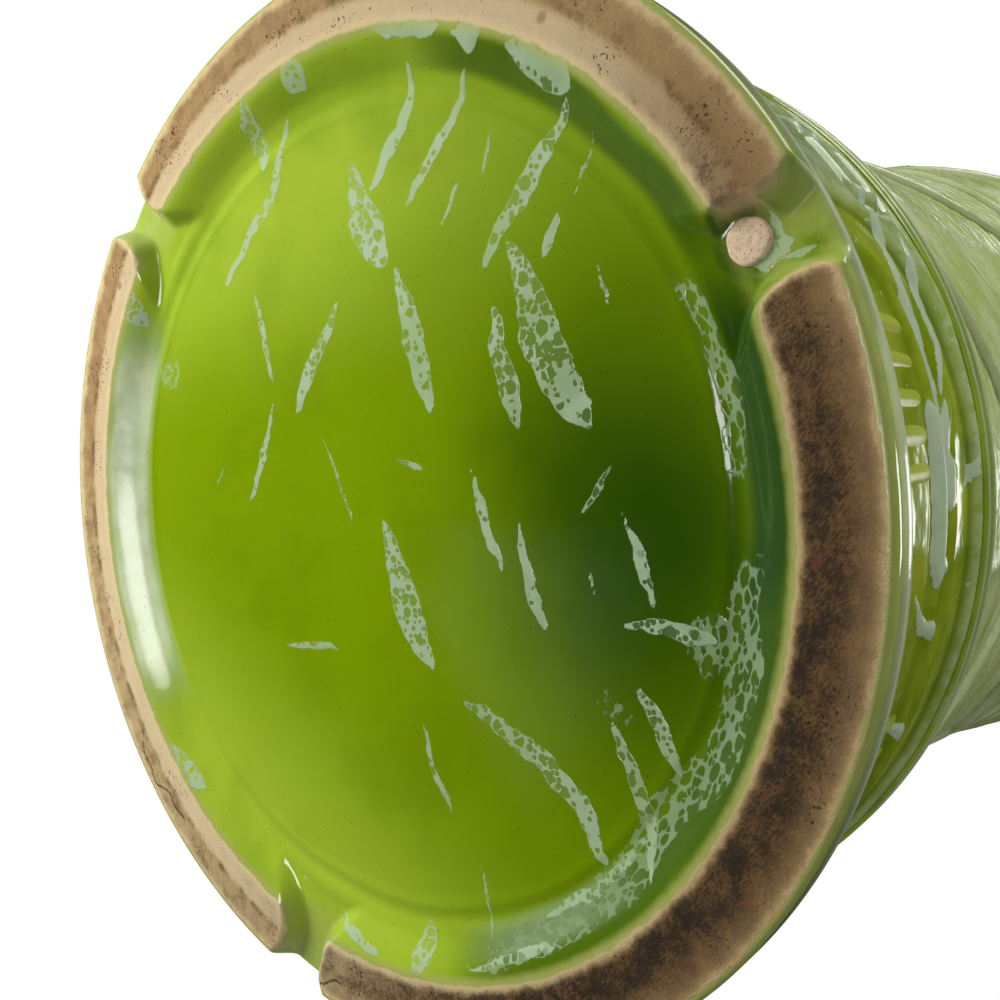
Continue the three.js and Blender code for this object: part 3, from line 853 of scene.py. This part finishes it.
def leaf_finish():
    """Glaze over combed leaves: pale over the strokes, with lime and olive hollows drawn out between them."""
    look = Finish("leaf_glaze", IOR=1.5)
    stroke = look.mark("stroke")
    above = look.mark("above_edge")
    aside = look.mark("aside")
    cloud = look.noise(9.0, 3.0, 0.6)
    fine = look.noise(0.9, 3.0, 0.65)
    lines = look.make("CombineXYZ", None, {0: above, 1: aside * 0.30, 2: 0.0})
    comb = look.noise(2.1, 3.0, 0.64, lines, 1.2)
    body = look.blend(look.step(cloud, 0.35, 0.68), paint(182, 198, 116), paint(206, 216, 160))
    hollow = look.step(0.45 * stroke + 1.9 * (comb - 0.5) + 0.8 * (cloud - 0.5), -0.04, -0.50)
    lime = look.blend(look.step(cloud, 0.4, 0.6), paint(148, 174, 34), paint(126, 152, 34))
    colour = look.blend(hollow * 0.86, body, lime)
    crest = look.step(stroke * 0.5 + 1.4 * (comb - 0.5), 0.16, 0.62)
    tip = 1 - look.step(above + 0.8 * (fine - 0.5), 0.30, 1.05)
    colour = look.blend(look.most(crest, tip * 0.8) * 0.7, colour, paint(196, 206, 164))
    roughness = 0.10 + 0.10 * fine
    normal = look.bump(comb + 0.25 * look.noise(2.4, 2.0, 0.5), 0.9, 0.40)
    return look.finish(Base_Color=colour, Roughness=roughness, Normal=normal)


def plain_finish():
    """Smooth lime glaze with soft runs, paler where it thins at the mouth and on the ring's edges."""
    look = Finish("plain_glaze", IOR=1.5)
    thin = look.mark("thin")
    runs = look.noise(3.6, 3.0, 0.6, look.drawn_out((1.0, 1.0, 6.0)))
    cloud = look.noise(12.0, 3.0, 0.6)
    fine = look.noise(0.9, 3.0, 0.65)
    colour = look.blend(look.step(cloud, 0.35, 0.68), paint(134, 160, 14), paint(162, 184, 44))
    colour = look.blend(look.step(runs, 0.50, 0.72) * 0.45, colour, OLIVE)
    colour = look.blend(look.step(runs, 0.42, 0.28) * 0.4, colour, CELADON)
    pale = look.step(thin + 0.35 * (fine - 0.5) + 0.3 * (runs - 0.5), 0.35, 0.75)
    colour = look.blend(pale * 0.9, colour, FROST)
    normal = look.bump(0.6 * look.noise(3.0, 2.0, 0.5) + 0.3 * runs, 0.6, 0.25)
    return look.finish(Base_Color=colour, Roughness=0.07 + 0.06 * fine, Normal=normal)


# Pieces
def add_floor(finish):
    """The recessed floor inside the ring, as a fine disc whose border sinks behind the feet."""
    wall_end = FLOOR_LEVEL + 1.6

    def level(points, radius):
        return underside_level(points) + 0.25 * smooth(radius, FOOT_INNER + 0.05, FOOT_INNER + 0.9)

    walled_disc("recess_floor", FLOOR_REACH, 0, 250, wall_end, level, underside_marks, finish, ["base_slab"])


def add_foot(number, start, end, finish):
    """One arc of the standing ring, with its cove and half of the notch at each end."""
    bearings = np.linspace(start, end, int((end - start) * COLUMNS_PER_DEGREE))
    across = np.concatenate([np.linspace(FOOT_INNER, BARE_OUTER, 46), [BARE_OUTER + 0.15]])
    radius, bearing = np.meshgrid(across, bearings)
    under = turned(radius, bearing, 0.0)
    under[..., 2] = underside_level(under)
    edge_level = under[:, -1, 2]
    corner = np.minimum(FOOT_CORNER, (FLOOR_LEVEL - edge_level) * 0.9)
    outline = [under]
    for turn in (20, 45, 70, 90):
        lean = math.radians(turn)
        out = FOOT_RADIUS - (FOOT_RADIUS - BARE_OUTER - 0.15) * (1 - math.sin(lean))
        outline.append(turned(out, bearings, edge_level + corner * (1 - math.cos(lean)))[:, None])
    for out, up in ((FOOT_RADIUS, 0), (FOOT_RADIUS - 0.8, 0.7), (FOOT_INNER, 0.7)):
        outline.append(turned(out, bearings, FLOOR_LEVEL + up)[:, None])
    grid = np.concatenate(outline, axis=1)
    marks = underside_marks(grid.reshape(-1, 3))
    name = f"foot_{number}"
    swept_piece(name, grid, marks, finish, [name], around=False)


def add_feet(finish):
    for number, start in enumerate(NOTCH_BEARINGS, 1):
        following = NOTCH_BEARINGS[number % len(NOTCH_BEARINGS)]
        end = following if following > start else following + 360
        add_foot(number, start, end, finish)


def ring_piece(name, pairs, thin, finish, columns=480, uneven=0.0, nodes=None):
    """A ring from a closed outline of (radius, height) pairs and how thin the glaze is at each."""
    nodes = [name] if nodes is None else nodes
    pairs = np.array(pairs, float)
    bearings = np.arange(columns) * 360 / columns
    radius, bearing = np.meshgrid(pairs[:, 0], bearings)
    grid = turned(radius, bearing, np.broadcast_to(pairs[:, 1], radius.shape))
    sway = uneven * rough(grid, 24.0, 11)
    grid = turned(radius - uneven + sway, bearing, grid[..., 2])
    swept_piece(name, grid, {"thin": np.tile(thin, (columns, 1))}, finish, nodes)


def add_base(finish):
    """The plinth edge under the pedestal, and the floor inside the vase."""
    shoulder = FOOT_RADIUS - PLINTH_STEP
    corner = [(FOOT_RADIUS, FLOOR_LEVEL), (FOOT_RADIUS, 2.9)]
    for turn in np.linspace(0, 90, 7):
        lean = math.radians(turn)
        corner.append((shoulder + PLINTH_STEP * math.cos(lean), 3.0 + 1.5 * math.sin(lean)))
    hidden = [(shoulder - 3, 5.2), (shoulder - 3, FLOOR_LEVEL + 0.8), (FOOT_RADIUS - 0.7, FLOOR_LEVEL + 0.8)]
    pairs = corner + hidden
    thin = [1.0] * 5 + [0.7, 0.3, 0.0, 0.0] + [0] * 3
    ring_piece("plinth_edge", pairs, thin, finish, 720, nodes=[])
    reach = pedestal_radius(INNER_FLOOR) - WALL + 0.4

    def level(points, radius):
        return INNER_FLOOR + (1.6 * smooth(radius, reach - 5, reach) - 0.2 + 0.15 * rough(points, 12.0, 9))

    def marks_at(points):
        return {"thin": np.zeros(len(points))}

    walled_disc("inner_floor", reach, INNER_FLOOR, 60, FLOOR_LEVEL + 1.4, level, marks_at, finish, [])


def add_scar(finish):
    """A disc with a slightly broken edge, a little domed."""
    rings = np.array([0.12, 0.3, 0.5, 0.7, 0.86, 0.95, 1.0, 0.98])
    lifts = np.array([0.0, 0.0, 0.01, 0.02, 0.05, 0.12, 0.28, 0.6])
    bearings = np.arange(72) * 5.0
    uneven = 0.03 * np.sin(np.radians(bearings * 3 + 40)) + 0.012 * np.sin(np.radians(bearings * 7))
    edge = SCAR_RADIUS * (1 + uneven)
    middle = turned(SCAR_FROM_AXIS, SCAR_BEARING, SCAR_LEVEL)
    points = [middle]
    for share, lift in zip(rings, lifts):
        points.append(turned(edge * share, bearings, lift) + middle)
    points.append(middle + np.array([0, 0, 0.6]))
    stacked = np.concatenate([np.atleast_2d(part) for part in points])
    faces = []
    count = len(bearings)
    for k in range(count):
        ahead = (k + 1) % count
        faces.append([0, 1 + ahead, 1 + k])
        for ring in range(len(rings) - 1):
            low = 1 + ring * count
            faces.append([low + k, low + ahead, low + count + ahead, low + count + k])
        last = 1 + (len(rings) - 1) * count
        faces.append([last + k, last + ahead, len(stacked) - 1])
    make_piece("stilt_scar", stacked, faces, {}, finish, ["stilt_scar"])


def outline_distance(share, height, half_span_mm, full_height):
    """Roughly how far a point lies outside a long round-ended outline, in millimetres."""
    across = np.abs(share)
    up = np.maximum(height, 0) / full_height
    reach = (across ** ROUNDNESS + up ** ROUNDNESS) ** (1 / ROUNDNESS)
    reach = np.maximum(reach, 1e-3)
    slope_across = (across / reach) ** (ROUNDNESS - 1) / half_span_mm
    slope_up = (up / reach) ** (ROUNDNESS - 1) / full_height
    return (reach - 1) / np.maximum(np.hypot(slope_across, slope_up), 1e-6)


# Milky runs on the pedestal: points as bearing and height, widest half-width, and how foamy it is
RUNS = [
    ([(-112.0, 26.0), (-105.0, 24.6), (-99.0, 25.0), (-94.0, 22.6)], 0.9, 0.0),
    ([(-93.5, 23.5), (-88.5, 21.8), (-83.0, 22.6)], 1.5, 0.0),
    ([(-93.0, 16.4), (-86.0, 18.4), (-77.0, 16.6)], 3.0, 0.0),
    ([(-84.0, 21.0), (-79.0, 20.4), (-76.5, 22.4)], 1.2, 0.0),
    ([(-76.0, 12.6), (-73.0, 15.4), (-71.6, 19.0), (-69.0, 20.6)], 0.8, 0.0),
    ([(-63.5, 13.4), (-61.5, 17.5), (-60.0, 21.0), (-57.0, 22.4)], 0.8, 0.0),
    ([(-40.0, 24.0), (-31.0, 19.0), (-27.0, 21.5)], 0.9, 0.0),
    ([(8.0, 20.0), (14.0, 22.6), (23.0, 20.6)], 1.3, 0.0),
    ([(96.0, 23.6), (108.0, 21.4), (114.0, 24.0)], 1.0, 0.0),
    ([(176.0, 18.4), (186.0, 21.8), (193.0, 20.0)], 1.2, 0.0),
]


def on_face(bearing, z):
    """Spots on the pedestal's face rolled out flat, in millimetres."""
    return np.stack([np.radians(off_centre(bearing, 0)) * WAIST_RADIUS, z], axis=-1)


def relief(bearing, z):
    """Depth of the relief behind the pedestal's face, and its finish's marks, in front and behind."""
    from_middle = off_centre((bearing - FIRST_MOTIF + MOTIF / 2) % MOTIF, MOTIF / 2)
    up = z - PEDESTAL_BASE
    per_degree = np.radians(WAIST_RADIUS)
    window = outline_distance(
        from_middle / WINDOW_HALF_SPAN, up, WINDOW_HALF_SPAN * per_degree, WINDOW_HEIGHT)
    panel = outline_distance(
        from_middle / PANEL_HALF_SPAN, up, PANEL_HALF_SPAN * per_degree, PANEL_HEIGHT)
    ground = smooth(window, -1.5, 0.9)
    inner = 1 - smooth(panel, -1.0, 1.7)
    hollow = 1 - smooth(panel, -PANEL_RIB - 1.6, -PANEL_RIB + 0.7)
    depth = RELIEF_DEPTH * (1 - np.maximum(ground, inner)) + 0.55 * hollow
    band = smooth(window, -7.0, -4.2) * (1 - inner)
    depth = depth - 0.45 * band * (1 - ground)
    lip = 0.5 * bump(window - 0.3, 0.6) + 0.6 * bump(panel + 0.4, 0.6)
    in_square = square_measure(bearing, z)
    depth = depth + 0.85 * (1 - smooth(in_square, -1.5, -0.6)) * ground
    depth = depth - 0.30 * bump(in_square, 0.5) + 0.35 * bump(in_square - 1.1, 0.45)
    lip = np.maximum(lip, 0.9 * bump(in_square, 0.55) + 0.8 * bump(in_square - 2.0, 0.45))
    pool = (1 - inner) * (1 - band) * bump(panel - 2.4, 1.9)
    pool = np.maximum(pool, 0.75 * (1 - ground) * bump(window + 0.9, 0.45))
    pool = np.maximum(pool, 0.45 * hollow * bump(panel + PANEL_RIB + 0.9, 0.9))
    pool = np.maximum(pool, 0.6 * bump(in_square - 1.1, 0.4))
    square_fill = 1 - smooth(in_square, -1.9, -0.9)
    spots = on_face(bearing, z)
    strokes = [(on_face(*np.array(path).T).tolist(), wide, foamy) for path, wide, foamy in RUNS]
    points = turned(WAIST_RADIUS, bearing, z).reshape(-1, 3)
    run, _ = streak_marks(strayed(spots.reshape(-1, 2), points, 71), strokes)
    run = run.reshape(z.shape)
    marks = {
        "ground": (ground * (1 - square_fill), 0),
        "edge": (np.clip(lip, 0, 1), 0),
        "pool": (np.clip(pool, 0, 1), 0),
        "rib": (np.zeros(z.shape), 0),
        "run": (run, -3),
    }
    return depth - 0.18 * smooth(run, 0, 0.5), marks


def square_measure(bearing, z):
    """Distance outside the nearest rounded square, between two windows, in millimetres."""
    from_middle = off_centre((bearing - FIRST_MOTIF) % MOTIF, MOTIF / 2)
    across = np.abs(np.radians(from_middle) * WAIST_RADIUS) / SQUARE_HALF
    up = np.abs(z - SQUARE_LEVEL) / SQUARE_HALF
    return SQUARE_HALF * ((across ** 5 + up ** 5) ** 0.2 - 1)


def add_pedestal(finish):
    bearings = np.arange(1080) / 3
    heights = np.linspace(PEDESTAL_BASE - 0.7, WAIST_LOW + 0.2, 76)
    z, bearing = np.meshgrid(heights, bearings)
    depth, marks = relief(bearing, z)
    face = pedestal_radius(z)
    spots = turned(face, bearing, z)
    depth = depth + 0.10 * rough(spots, 6.0, 21) + 0.02 * rough(spots, 1.8, 22) + 0.12
    front = turned(face - depth, bearing, z)
    back_heights = np.linspace(WAIST_LOW, INNER_FLOOR - 1, 8)
    back_z, back_bearing = np.meshgrid(back_heights, bearings)
    back = turned(pedestal_radius(back_z) - WALL, back_bearing, back_z)
    nodes = ["pedestal_wall", "relief_band"] + [f"panel_{k + 1}" for k in range(MOTIFS)]
    shell_piece("pedestal", front, back, marks, finish, nodes)


def add_waist_ring(finish):
    """A flat ring with two thin sharp edges."""
    heights = np.linspace(WAIST_LOW - 0.3, WAIST_TOP + 0.3, 30)
    middle = (WAIST_LOW + WAIST_TOP) / 2
    ridges = bump(heights - middle + 0.95, 0.28) + bump(heights - middle - 0.95, 0.28)
    hollow = bump(heights - middle, 0.7)
    radii = WAIST_RADIUS + 0.02 + 0.36 * ridges - 0.12 * hollow
    outside = list(zip(radii, heights))
    inside = [(WAIST_RADIUS - WALL, WAIST_TOP), (WAIST_RADIUS - WALL, WAIST_LOW)]
    thin = [*np.clip(0.1 + 0.75 * ridges ** 2, 0, 1), 0, 0]
    ring_piece("waist_ring", outside + inside, thin, finish, 720, 0.05)


def leaf_edge(tier, bearing):
    """Height of a tier's scalloped lower edge, and the share of the way from a tip to the next cleft."""
    turns = (bearing - FIRST_MOTIF) / MOTIF + tier / 2
    signed = 2 * (turns - np.round(turns))
    share = np.abs(signed)
    return FIRST_TIP + TIER_PITCH * (tier - 1 + SCALLOP_SHARE * share ** SCALLOP_CURVE), signed


def add_leaf_tier(tier, finish):
    """One tier of combed leaves, rounded at its lower edge and tucked in under the tier above."""
    columns = 720
    bearings = np.arange(columns) * 360 / columns
    own_edge, signed = leaf_edge(tier, bearings)
    next_edge, _ = leaf_edge(tier + 1, bearings)
    low = np.full(columns, WAIST_TOP - 0.4) if tier == 0 else own_edge
    visible = (np.full(columns, LEAF_TOP) if tier == LEAF_TIERS - 1 else next_edge) - low
    high = low + visible + LEAF_TUCK
    tallest = (high - low).max()
    rows = int(min(max(tallest / 0.5, 40), 112))
    lip_steps = np.array([0, 0.06, 0.16, 0.32, 0.55, 0.85])
    shares = np.linspace(0, 1, rows)
    above = np.concatenate([
        np.broadcast_to(lip_steps, (columns, len(lip_steps))),
        1.2 + shares * (high - low - 1.2)[:, None],
    ], axis=1)
    z = low[:, None] + above
    bearing = np.broadcast_to(bearings[:, None], z.shape)
    face = body_radius(z)
    spots = turned(face, bearing, z)
    lip = np.clip(above / LEAF_LIP, 0, 1)
    rounding = 0.75 * (1 - np.sqrt(np.clip(1 - (1 - lip) ** 2, 0, 1)))
    sink = LEAF_SINK * np.clip(above / visible[:, None], 0, 1) ** 1.6
    comb_phase = above / COMB_PITCH + 0.35 * rough(spots, 9.0, 41 + tier)
    strength = smooth(above, 1.0, 3.0) * (0.55 + 0.45 * rough(spots, 7.0, 51 + tier))
    stroke = np.cos(2 * np.pi * comb_phase) * strength
    half_arc = np.radians(MOTIF / 2) * face
    aside = np.abs(signed)[:, None] * half_arc
    rib = bump(aside, 0.9) * smooth(above, 0.5, 4) * (1 - smooth(above / visible[:, None], 0.6, 0.95))
    cleft = bump(half_arc - aside, 0.7) * smooth(above, -0.5, 0.6)
    depth = rounding + sink - COMB_HEIGHT * stroke - 0.22 * rib + 0.6 * cleft + COMB_HEIGHT + 0.12
    depth = depth + 0.08 * rough(spots, 4.0, 61)
    front = turned(face - depth, bearing, z)
    back_shares = np.linspace(1, 0, 14)
    back_z = low[:, None] + back_shares * (high - low)[:, None]
    back_bearing = np.broadcast_to(bearings[:, None], back_z.shape)
    back = turned(body_radius(back_z) - LEAF_BACKING - 0.2, back_bearing, back_z)
    marks = {"stroke": (stroke + rib - 1.5 * cleft, 0), "above_edge": (above, 5), "aside": (aside, 0)}
    name = f"leaf_tier_{tier + 1}"
    shell_piece(name, front, back, marks, finish, [name])


def wall_pairs(low, high, count, setback):
    heights = np.linspace(low, high, count)
    return [(radius, z) for radius, z in zip(body_radius(heights) - setback, heights)]


def add_body_walls(finish):
    """The hollow body behind the leaves, the smooth shoulder over them and the neck."""
    behind = wall_pairs(WAIST_TOP, BODY_SEAM, 24, LEAF_BACKING)
    inner_wall = behind + wall_pairs(BODY_SEAM, WAIST_TOP, 24, WALL)
    thin = [0.0] * len(inner_wall)
    ring_piece("body_wall", inner_wall, thin, finish, 240)
    hidden = wall_pairs(BODY_SEAM, LEAF_TOP - 0.6, 20, LEAF_BACKING)
    start = LEAF_TOP - 0.4
    steps = ((0.9, 0), (0.35, 0.1), (0.08, 0.45), (0.05, 1.0))
    collar = [(body_radius(start) - back, start + up) for back, up in steps]
    shoulder = wall_pairs(start + 1.4, NECK_LEVEL, 40, 0.05)
    inside = wall_pairs(NECK_LEVEL, BODY_SEAM, 40, WALL)
    pairs = hidden + collar + shoulder + inside
    thin = [0.0] * len(hidden) + [0.9, 1.0, 0.9, 0.6] + [0.1] * len(shoulder) + [0.0] * len(inside)
    ring_piece("shoulder_wall", pairs, thin, finish)
    outside = wall_pairs(NECK_LEVEL, LIP_BASE, 16, 0.05)
    inside = wall_pairs(LIP_BASE, NECK_LEVEL, 12, WALL)
    thin = [*np.linspace(0.1, 0.3, 16), *[0.1] * 12]
    ring_piece("neck_wall", outside + inside, thin, finish)


def add_lip(finish):
    """The mouth swells out into a soft roll and turns back in to the inner wall."""
    middle = HEIGHT - 3.6
    outer_start = float(body_radius(LIP_BASE)) - 0.05
    inner_start = float(body_radius(LIP_BASE)) - WALL
    pairs = [(outer_start, LIP_BASE), (outer_start + 0.55, LIP_BASE + 1.4)]
    thin = [0.3, 0.35]
    centre = MOUTH_RADIUS - 2.4
    for turn in np.linspace(-35, 200, 30):
        lean = math.radians(turn)
        pairs.append((centre + 3.5 * math.cos(lean), middle + 3.5 * math.sin(lean)))
        thin.append(0.45 + 0.5 * math.sin(math.radians(max(turn, 0) * 0.9)))
    pairs += [(inner_start + 0.9, LIP_BASE + 1.8), (inner_start, LIP_BASE)]
    ring_piece("rim_lip", pairs, thin + [0.2, 0.1], finish)


# Bars of the panels, repeated round the pedestal
def bar_mesh(finish):
    """One soft upright bar at bearing 0, following the pedestal, with skirts that end under its face."""
    ups = np.linspace(-1, 1, 25)
    sides = np.linspace(-1, 1, 13)
    up, side = np.meshgrid(ups, sides, indexing="ij")
    z = BAR_MIDDLE + up * BAR_HALF_HEIGHT
    swell = np.cos(np.pi / 2 * side) ** 2 * np.clip(1 - np.abs(up) ** 3, 0, 1)
    radius = pedestal_radius(z) - 0.86 + 0.40 * swell
    bearing = np.degrees(side * BAR_HALF_WIDTH * (1 - 0.25 * up ** 4) / WAIST_RADIUS)
    front = turned(radius, bearing, z)
    back = turned(pedestal_radius(z) - 1.6, bearing, z)
    points = np.concatenate([front.reshape(-1, 3), back.reshape(-1, 3)])
    quads, rim = patch_faces(np.arange(up.size).reshape(up.shape))
    faces = quads + [[corner + up.size for corner in quad[::-1]] for quad in quads]
    for k, here in enumerate(rim):
        ahead = rim[(k + 1) % len(rim)]
        faces.append([here, ahead, ahead + up.size, here + up.size])
    marks = {mark: np.zeros(2 * up.size) for mark in ("ground", "edge", "pool")}
    # The rib mark paints a highlight over the bar's crest.
    marks["rib"] = np.concatenate([0.85 * swell.ravel(), np.zeros(up.size)])
    marks["run"] = np.full(2 * up.size, -3.0)
    mesh = new_mesh("panel_bar", points, faces, marks, finish)
    face_outwards(mesh)
    return mesh


LADDER_SIZES = {
    "Bars in a ladder": ("NodeSocketInt", BARS),
    "Bar pitch": ("NodeSocketFloat", float(BAR_PITCH)),
    "First bar": ("NodeSocketFloat", float(BAR_START)),
    "Motifs": ("NodeSocketInt", MOTIFS),
    "First motif": ("NodeSocketFloat", float(FIRST_MOTIF)),
}


def ladder_tree(finish):
    """Repeats one bar: so many to a ladder, and a ladder towards each end of each motif's panel."""
    tree = bpy.data.node_groups.new("panel_ladders", "GeometryNodeTree")
    tree.is_modifier = True
    face = tree.interface
    face.new_socket("Geometry", in_out="INPUT", socket_type="NodeSocketGeometry")
    inputs = {}
    for name, (kind, amount) in LADDER_SIZES.items():
        socket = face.new_socket(name, in_out="INPUT", socket_type=kind)
        socket.default_value = amount
        inputs[name] = socket.identifier
    face.new_socket("Geometry", in_out="OUTPUT", socket_type="NodeSocketGeometry")
    nodes = Nodes(tree)
    sizes = [nodes.make("NodeGroupInput", output=name) for name in LADDER_SIZES]
    in_ladder, pitch, first_bar, motifs, first_motif = sizes
    points = nodes.make("GeometryNodePoints", None, {"Count": in_ladder * 2 * motifs})
    number = nodes.make("GeometryNodeInputIndex")
    rung = nodes.math("MODULO", number, in_ladder)
    ladder = nodes.math("FLOOR", number / in_ladder)
    side = nodes.math("MODULO", ladder, 2) * 2 - 1
    motif = nodes.math("FLOOR", ladder / 2)
    middle = first_motif + motif * (360 / motifs)
    bearing = middle + side * (first_bar + rung * pitch)
    turn = nodes.make("CombineXYZ", None, {"Z": nodes.math("RADIANS", bearing)})
    bar = nodes.make("NodeGroupInput", output="Geometry")
    repeated = {"Points": points, "Instance": bar, "Rotation": turn}
    bars = nodes.make("GeometryNodeInstanceOnPoints", None, repeated)
    real = nodes.make("GeometryNodeRealizeInstances", None, {0: bars})
    coated = nodes.make("GeometryNodeSetMaterial", None, {"Geometry": real, "Material": finish})
    nodes.feed(tree.nodes.new("NodeGroupOutput").inputs[0], coated)
    return tree, inputs


def add_bars(finish):
    carrier = placed("bar_pattern", bar_mesh(finish))
    tree, inputs = ladder_tree(finish)
    modifier = carrier.modifiers.new("ladders", "NODES")
    modifier.node_group = tree
    for name, (_, amount) in LADDER_SIZES.items():
        modifier[inputs[name]] = amount
    settled = carrier.evaluated_get(bpy.context.evaluated_depsgraph_get())
    mesh = bpy.data.meshes.new_from_object(settled)
    mesh.name = "panel_bars"
    bpy.data.objects.remove(carrier)
    piece = placed("panel_bars", mesh)
    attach(piece, "root")


# Stage, camera and lights
def add_camera():
    """The photograph's view: close under the foot, looking up and along the vase."""
    data = bpy.data.cameras.new("camera")
    data.lens = 36
    data.sensor_width = 36
    data.clip_start = 0.002
    data.clip_end = 20
    camera = placed("camera", data)
    right = Vector((0.12502, -0.76359, 0.63349)).normalized()
    forward = Vector((-0.00946, 0.63756, 0.77035)).normalized()
    up = right.cross(forward).normalized()
    right = forward.cross(up)
    turn = Matrix((right, up, -forward)).transposed()
    camera.matrix_world = Matrix.Translation(Vector((1.233, -70.660, -63.253)) * MM) @ turn.to_4x4()
    bpy.context.scene.camera = camera


def pale_floor_finish():
    """Matt and pale near the vase, clear farther out and from below."""
    material = bpy.data.materials.new("pale_floor")
    material.use_nodes = True
    tree = material.node_tree
    tree.nodes.remove(tree.nodes["Principled BSDF"])
    look = Nodes(tree)
    place = look.make("TexCoord", output="Object")
    reach = look.make("VectorMath", {"operation": "LENGTH"}, {0: place}, output="Value")
    hidden = look.most(look.step(reach, 0.35, 1.1), look.make("NewGeometry", output="Backfacing"))
    matt = look.make("BsdfDiffuse", None, {"Color": (0.93, 0.93, 0.93, 1)})
    clear = look.make("BsdfTransparent")
    surface = look.make("MixShader", None, {0: hidden, 1: matt, 2: clear})
    look.feed(tree.nodes["Material Output"].inputs["Surface"], surface)
    return material


def add_floor_stage():
    """A wide pale floor that shows only from above, in camera and in gloss, and fades out farther off."""
    bearings = np.arange(128) * 360 / 128
    radii = [0.9 * FOOT_RADIUS, 100, 250, 600, 1200, 2400]
    points = turned(np.array(radii)[:, None], bearings, 0.0).reshape(-1, 3)
    count = len(bearings)
    faces = []
    for low in range(0, count * (len(radii) - 1), count):
        for k in range(count):
            ahead = (k + 1) % count
            faces.append([low + k, low + count + k, low + count + ahead, low + ahead])
    floor = placed("floor", new_mesh("floor", points, faces, {}, pale_floor_finish()))
    floor.visible_diffuse = False
    floor.visible_transmission = False
    floor.visible_shadow = False


def add_world():
    """A surround that is white to the camera, soft on the vase, and in its gloss pale round the horizon."""
    world = bpy.data.worlds.new("studio")
    bpy.context.scene.world = world
    world.use_nodes = True
    background = world.node_tree.nodes["Background"]
    background.inputs["Color"].default_value = (1, 1, 1, 1)
    look = Nodes(world.node_tree)
    place = look.make("TexCoord", output="Generated")
    x, z = (look.make("SeparateXYZ", None, {0: place}, output=axis) for axis in (0, 2))
    camera_ray, glossy_ray, clear_ray = (
        look.make("LightPath", output=f"Is {ray} Ray") for ray in ("Camera", "Glossy", "Transmission"))
    steepness = look.math("ABSOLUTE", z)
    reflected = look.step(steepness, 0.15, 0.60, 0.42, 0.04) * look.step(x, -0.9, 0.3, 1.0, 0.35)
    soft = look.step(z, -0.75, 0.15, 0.26, 0.86) * look.step(x, -0.5, 0.9, 1.0, 0.5)
    unseen = glossy_ray * reflected + (1 - glossy_ray) * soft
    look.feed(background.inputs["Strength"], look.most(look.most(camera_ray, clear_ray), unseen))


def add_softbox(name, direction, distance, width, height, radiance, aim=(0, 0, 0), lights=True, shines=True):
    """A flat lamp in a given direction from its aim. It may light a surface, show in its gloss, or both."""
    data = bpy.data.lights.new(name, "AREA")
    data.shape = "RECTANGLE"
    data.size = width
    data.size_y = height
    data.energy = radiance * math.pi * width * height
    lamp = placed(name, data)
    towards = Vector(direction).normalized()
    lamp.location = Vector(aim) * MM + towards * distance
    lamp.rotation_mode = "QUATERNION"
    lamp.rotation_quaternion = towards.to_track_quat("Z", "Y")
    lamp.visible_camera = False
    lamp.visible_diffuse = lights
    lamp.visible_glossy = shines


def add_lights():
    add_world()
    add_softbox("window", (0.10, -0.26, 0.96), 0.62, 0.13, 0.09, 3.4, (5, -47, 16))
    add_softbox("near_left", (-0.50, 0.62, -0.60), 0.19, 0.10, 0.10, 11.0, shines=False)
    add_softbox("low_card", (-0.10, -0.12, -1.0), 0.35, 0.13, 0.17, 13.0, lights=False)
    add_softbox("front_left", (-0.75, -0.45, 0.35), 0.9, 0.5, 0.7, 3.8, (0, 0, 110))


add_camera()
add_floor_stage()
add_lights()

underside = underside_finish()
relief_glaze = relief_finish()
leaf_glaze = leaf_finish()
plain_glaze = plain_finish()

add_floor(underside)
add_feet(underside)
add_base(plain_glaze)
add_scar(scar_finish())
add_pedestal(relief_glaze)
add_bars(relief_glaze)
add_waist_ring(plain_glaze)
for tier in range(LEAF_TIERS):
    add_leaf_tier(tier, leaf_glaze)
add_body_walls(plain_glaze)
add_lip(plain_glaze)
